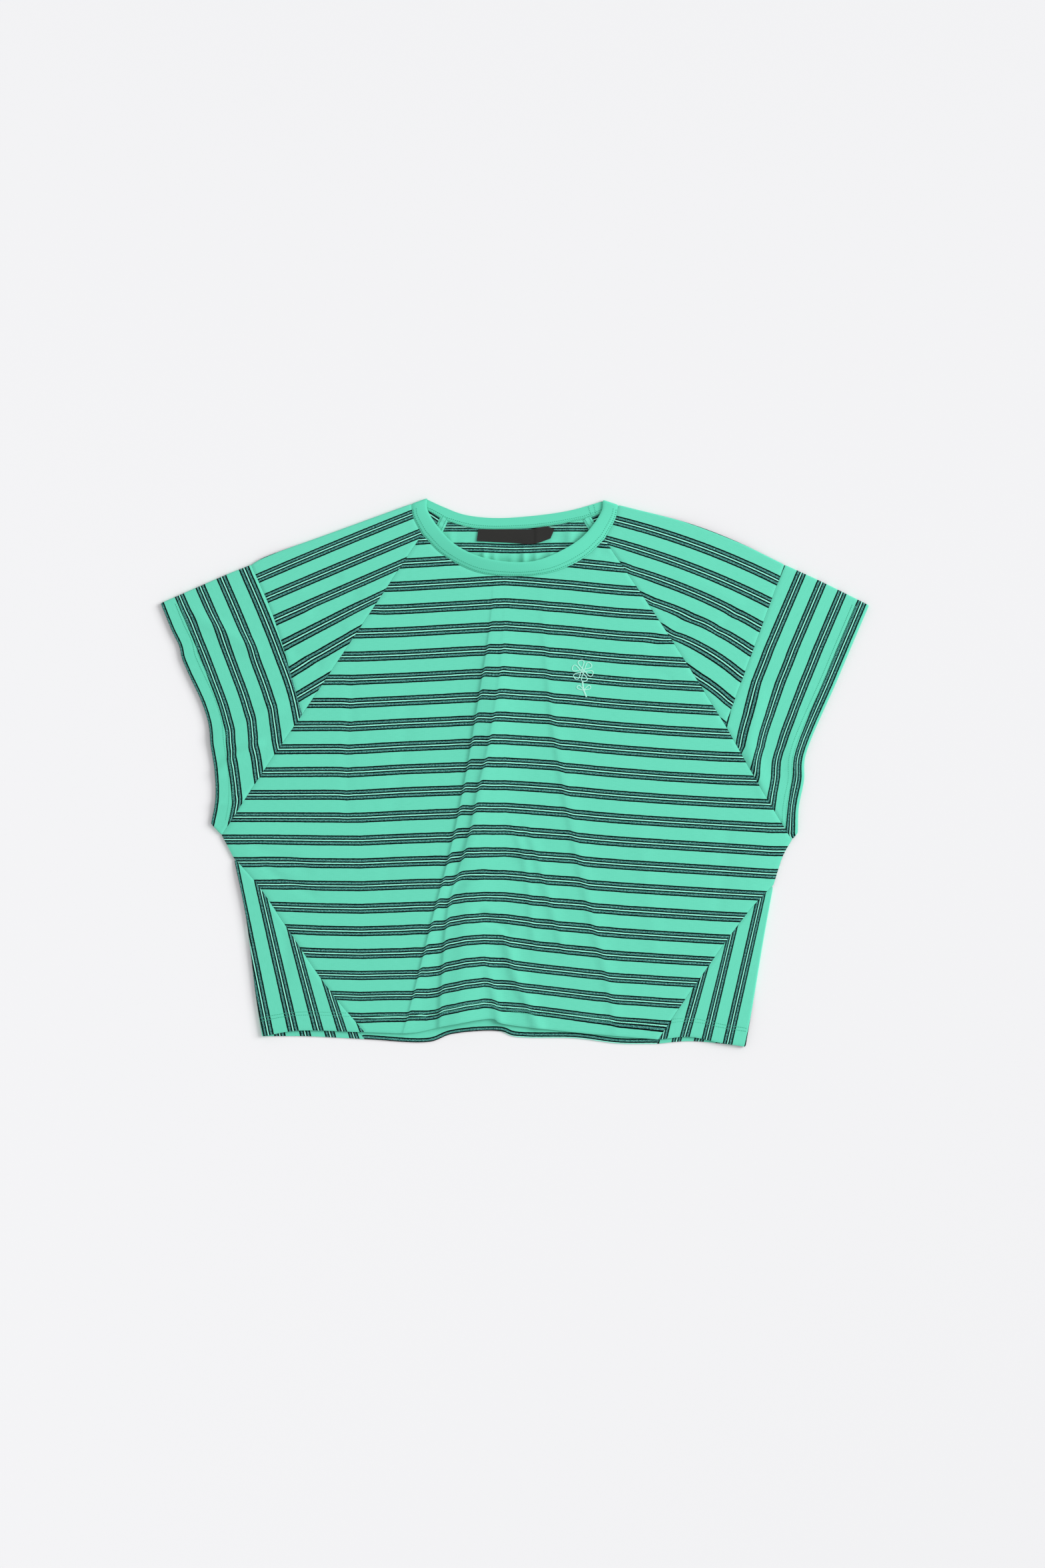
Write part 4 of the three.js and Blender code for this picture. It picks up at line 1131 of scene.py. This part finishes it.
def hemLines():
    rows = []
    seams = {name: walk(sides[name]["goreSeam"], even(200)) for name in sides}
    for distance in stitch["hem"]["rows"]:
        middle = walk(frontHem, even(240)) + [0, distance]
        leftX, rightX = (np.interp(-middle[:, 1], -seams[name][:, 1], seams[name][:, 0]) for name in seams)
        rows.append(onFront(middle[(middle[:, 0] > leftX + 1) & (middle[:, 0] < rightX - 1)]))
        for name, flip in (("left", 1), ("right", -1)):
            run = inFrom(walk(sides[name]["goreHem"], even(90)), distance + 1.2, flip)
            fold = walk(sides[name]["sideFold"], even(90))
            foldX = np.interp(-run[:, 1], -fold[:, 1], fold[:, 0])
            seamX = np.interp(-run[:, 1], -seams[name][:, 1], seams[name][:, 0])
            low, high = np.minimum(foldX, seamX) + 1.5, np.maximum(foldX, seamX) - 1.5
            rows.append(onFront(run[(run[:, 0] > low) & (run[:, 0] < high)]))
    for name, flip in (("left", 1), ("right", -1)):
        for distance in stitch["cuff"][name]:
            rows.append(onFront(inFrom(walk(sides[name]["cuff"], even(150)), distance, flip)[4:-5]))
    return rows


def underHemLines():
    # the same rows on the back, which lies face down
    rows = []
    for distance in stitch["hem"]["rows"]:
        rows.append(inFrom(walk(backHem, even(240)), distance, 1)[6:-6])
        for name, flip in (("left", 1), ("right", -1)):
            rows.append(inFrom(walk(sides[name]["backGoreHem"], even(60)), distance, flip)[6:-8])
    for name, flip in (("left", 1), ("right", -1)):
        for distance in stitch["cuff"][name]:
            rows.append(inFrom(walk(sides[name]["cuff"], even(150)), distance, flip)[4:-5])
    return [np.concatenate([flat, np.full((len(flat), 1), 0.12)], axis=1) for flat in rows]


bandMap = bandLines(240)


def onBand(share, front=True, trim=4):
    # a line along the neckband at a share of its width from the seam, on the front or on the back's inside
    seam, edge = bandMap[:2] if front else bandMap[2:]
    flat = seam * (1 - share) + edge * share
    if front:
        height = frontBandHeight(flat, even(len(flat) - 1), 1 - share) + 0.35 * math.sin(math.pi * share)
    else:
        height = np.full(len(flat), cloth["ribWall"])
    return np.concatenate([flat, height[:, None]], axis=1)[trim:-trim]


# The joins that show inside the neck: x and y of the ends of the two seam allowances and of the band's join.
inside = {
    "allowances": [[-68.5, 248.0, -77.0, 230.0], [70.0, 248.0, 81.0, 230.0]],
    "allowanceWidth": 8.4, "allowanceTop": 1.9, "allowanceWall": 0.5,
    "bandJoin": [[71.8, 258.6, 75.0, 248.6], [77.0, 260.0, 79.2, 251.6]],
}


def makeAllowance(name, ends):
    # a narrow turned edge of the raglan seam, lying on the back
    startX, startY, endX, endY = ends
    start, end = np.array([startX, startY]), np.array([endX, endY])
    way = (end - start) / np.linalg.norm(end - start)
    side = np.array([-way[1], way[0]])
    along, across = even(24), edged(8, inside["allowanceWidth"])
    flat = (start + (end - start) * along[:, None])[:, None] + (
        side * inside["allowanceWidth"])[None, None] * (across[None, :, None] - 0.5)
    wave = 0.18 * np.sin(along * 19)[:, None] + 0.08 * np.sin(across * math.pi)[None]
    outer = np.concatenate([flat, (inside["allowanceTop"] + wave)[..., None]], axis=-1)
    plain = np.full(flat.shape[:-1] + (1,), 0.5)
    sheet = {"outer": outer, "out": np.broadcast_to(np.array([0, 0, 1.0]), outer.shape).copy(),
             "wall": np.full(flat.shape[:-1], inside["allowanceWall"]),
             "pattern": np.concatenate([flat[..., :1] / stripe["repeat"], plain], axis=-1)}
    piece = makeCloth(name, sheet, {"left": "hem", "right": "hem"}, jerseyCloth)
    middle = start + (end - start) * even(40)[:, None]
    rows = [np.concatenate([middle + side * shift, np.full((41, 1), inside["allowanceTop"] + 0.15)], axis=1)
            for shift in (-2.2, 2.2)]
    return piece, rows


def sewn(name, lines, kind, material, lift=0.12, turn=0.0):
    made = [line + [0, 0, lift] for line in lines]
    return sew(name, made, kind["pitch"], kind["length"], kind["width"], turn, material)


def halfOn(lines, pitch):
    # the same lines, starting half a stitch later
    later = []
    for points in lines:
        reach = lengthsAlong(points)
        places = np.linspace(pitch / 2, reach[-1], len(points))
        later.append(np.stack([np.interp(places, reach, points[:, k]) for k in range(3)], axis=1))
    return later


hemRows, underRows = hemLines(), underHemLines()
neckRows = [onBand(share) for share in stitch["neck"]["shares"]]
neckRows.append(onBand(stitch["neck"]["backShare"], front=False))
holeShade = stitch["holeShade"]
hemHoleShade = {"pitch": stitch["hem"]["pitch"], **holeShade}
neckHoleShade = {"pitch": stitch["neck"]["pitch"], **holeShade}
joinHoleShade = {"pitch": 1.5, **holeShade}
overlock = stitch["overlock"]

leftAllowance, leftTicks = makeAllowance("leftAllowance", inside["allowances"][0])
rightAllowance, rightTicks = makeAllowance("rightAllowance", inside["allowances"][1])
joinRows = [np.array([[ax, ay, cloth["ribWall"]], [bx, by, cloth["ribWall"]]])
            for ax, ay, bx, by in inside["bandJoin"]]
hemStitches = sewn("hemStitches", hemRows, stitch["hem"], sewingThread)
# the rows of needle holes are dark dots of painted shade, on the hems, the neckband and its joins
hemHoleShadeDots = sewn("hemHoleShadeDots", halfOn(hemRows, hemHoleShade["pitch"]), hemHoleShade, needleHoleShade, -0.1)
underStitches = sewn("underStitches", underRows, stitch["hem"], sewingThread, -0.1)
neckStitches = sewn("neckStitches", neckRows, stitch["neck"], sewingThread, -0.02)
neckHoleShadeDots = sewn("neckHoleShadeDots", halfOn(neckRows, neckHoleShade["pitch"]), neckHoleShade, needleHoleShade, 0.04)
joinHoleShadeDots = sewn("joinHoleShadeDots", joinRows + leftTicks + rightTicks, joinHoleShade, needleHoleShade, 0.05)
edging = sewn("overlockEdging", [onBand(share, front=False, trim=8) for share in overlock["shares"]], overlock,
              sewingThread, 0.1, overlock["turn"])
print("stitches sewn")


# A small embroidered daisy on the chest.
daisy = {
    "x": 66.0, "y": 99.0, "petals": 6, "innerRadius": 2.6, "outerRadius": 10.5, "petalWidth": 3.1,
    "stem": [[66, 88], [66.6, 82], [69.5, 74]], "pitch": 0.8, "length": 1.5, "width": 0.95,
}


def daisyLines():
    rows = []
    centre = np.array([daisy["x"], daisy["y"]])
    for k in range(daisy["petals"]):
        turn = math.pi / 2 + k * 2 * math.pi / daisy["petals"] + 0.2
        way, side = np.array([math.cos(turn), math.sin(turn)]), np.array([-math.sin(turn), math.cos(turn)])
        t = even(40)
        out = daisy["innerRadius"] + (daisy["outerRadius"] - daisy["innerRadius"]) * np.sin(math.pi * t)
        wide = daisy["petalWidth"] * np.sin(2 * math.pi * t) * (0.75 + 0.25 * np.sin(math.pi * t))
        rows.append(centre + way * out[:, None] + side * wide[:, None])
    round8 = even(24) * 2 * math.pi
    for radius in (1.7, 0.8):
        rows.append(centre + radius * np.stack([np.cos(round8), np.sin(round8)], axis=1))
    stem = walk(line(*daisy["stem"]), even(20))
    rows += [stem + [-0.35, 0], stem + [0.35, 0]]
    for flip in (-1, 1):
        t = even(24)
        base = stem[11]
        way = np.array([flip * 0.86, 0.5])
        side = np.array([-way[1], way[0]])
        rows.append(base + way * (7.5 * np.sin(math.pi * t / 1.0) ** 0.9)[:, None]
                    + side * (1.7 * np.sin(2 * math.pi * t))[:, None])
    return [onFront(row) for row in rows]


embroidery = sewn("embroideredDaisy", daisyLines(), daisy, flowerThread, 0.14)
print("daisy embroidered")


def setStudio():
    floor = bpy.data.meshes.new("floor")
    half = studio["floorSize"] / 2
    floor.from_pydata([(-half, -half, -0.0003), (half, -half, -0.0003), (half, half, -0.0003),
                       (-half, half, -0.0003)], [], [(0, 1, 2, 3)])
    material, wire = newMaterial("paleFloor")
    place = wire.make("ShaderNodeTexCoord", {}, {}, 3)
    grain = wire.noise(place, 300.0)
    keyX, keyY = studio["keyPlace"][:2]
    reach = math.hypot(keyX, keyY)
    # painted shade: the floor is painted darker towards the key light, to even out how its light falls across the
    # floor
    towards = wire.make("ShaderNodeVectorMath", {"operation": "DOT_PRODUCT"},
                        {0: place, 1: (keyX / reach, keyY / reach, 0)}, 1)
    across = wire.make("ShaderNodeMapRange", {}, {"Value": towards, "From Min": -0.7, "From Max": 0.7})
    pale = paint(248.7, 248.7, 250.6)
    shaded = tuple(c * (1 - studio["floorShade"]) for c in pale[:3]) + (1.0,)
    finishMaterial(material, wire, across.mix(pale, shaded), 0.9, grain, 0.02, 0.0)
    floor.materials.append(material)
    ground = bpy.data.objects.new("floor", floor)
    bpy.context.collection.objects.link(ground)
    lamp = bpy.data.lights.new("keyLight", "AREA")
    lamp.size, lamp.energy = studio["keySize"], studio["keyPower"]
    light = bpy.data.objects.new("keyLight", lamp)
    x, y, z = studio["keyPlace"]
    light.location = (x, y, z)
    light.rotation_euler = (math.atan2(math.hypot(x, y), z), 0, math.atan2(y, x) + math.pi / 2)
    bpy.context.collection.objects.link(light)
    world = bpy.data.worlds.new("studio")
    world.use_nodes = True
    sky = world.node_tree.nodes["Background"]
    sky.inputs["Color"].default_value = (1, 1, 1, 1)
    sky.inputs["Strength"].default_value = studio["skyStrength"]
    bpy.context.scene.world = world
    bpy.context.scene.view_settings.view_transform = "Standard"


setStudio()
print("studio set")


def declare(piece, node, sewnOn):
    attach(piece, "root")
    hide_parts(node)
    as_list(sewnOn)


# The node of model.glb that each piece stands for, and what is sewn on to some of them.
nodeOf = {
    "frontPanel": "front_body", "backPanel": "back_body",
    "leftShoulder": "left_shoulder", "rightShoulder": "right_shoulder",
    "leftSleeveBand": "left_sleeve_band", "rightSleeveBand": "right_sleeve_band",
    "leftGore": "left_gore", "rightGore": "right_gore", "neckRib": "neckband", "neckLabel": "neck_label",
}
sewnTo = {
    "frontPanel": [hemStitches, hemHoleShadeDots, embroidery],
    "backPanel": [underStitches, leftAllowance, rightAllowance],
    "neckRib": [neckStitches, neckHoleShadeDots, joinHoleShadeDots, edging],
}
for pieces in sewnTo.values():
    for piece in pieces:
        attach(piece, "root")
for piece in (frontPanel, backPanel, *shoulders.values(), *sleeveBands.values(), *gores.values(), neckRib,
              neckLabel):
    declare(piece, nodeOf[piece.name],
            sewnTo.get(piece.name, []))

print("pieces declared")
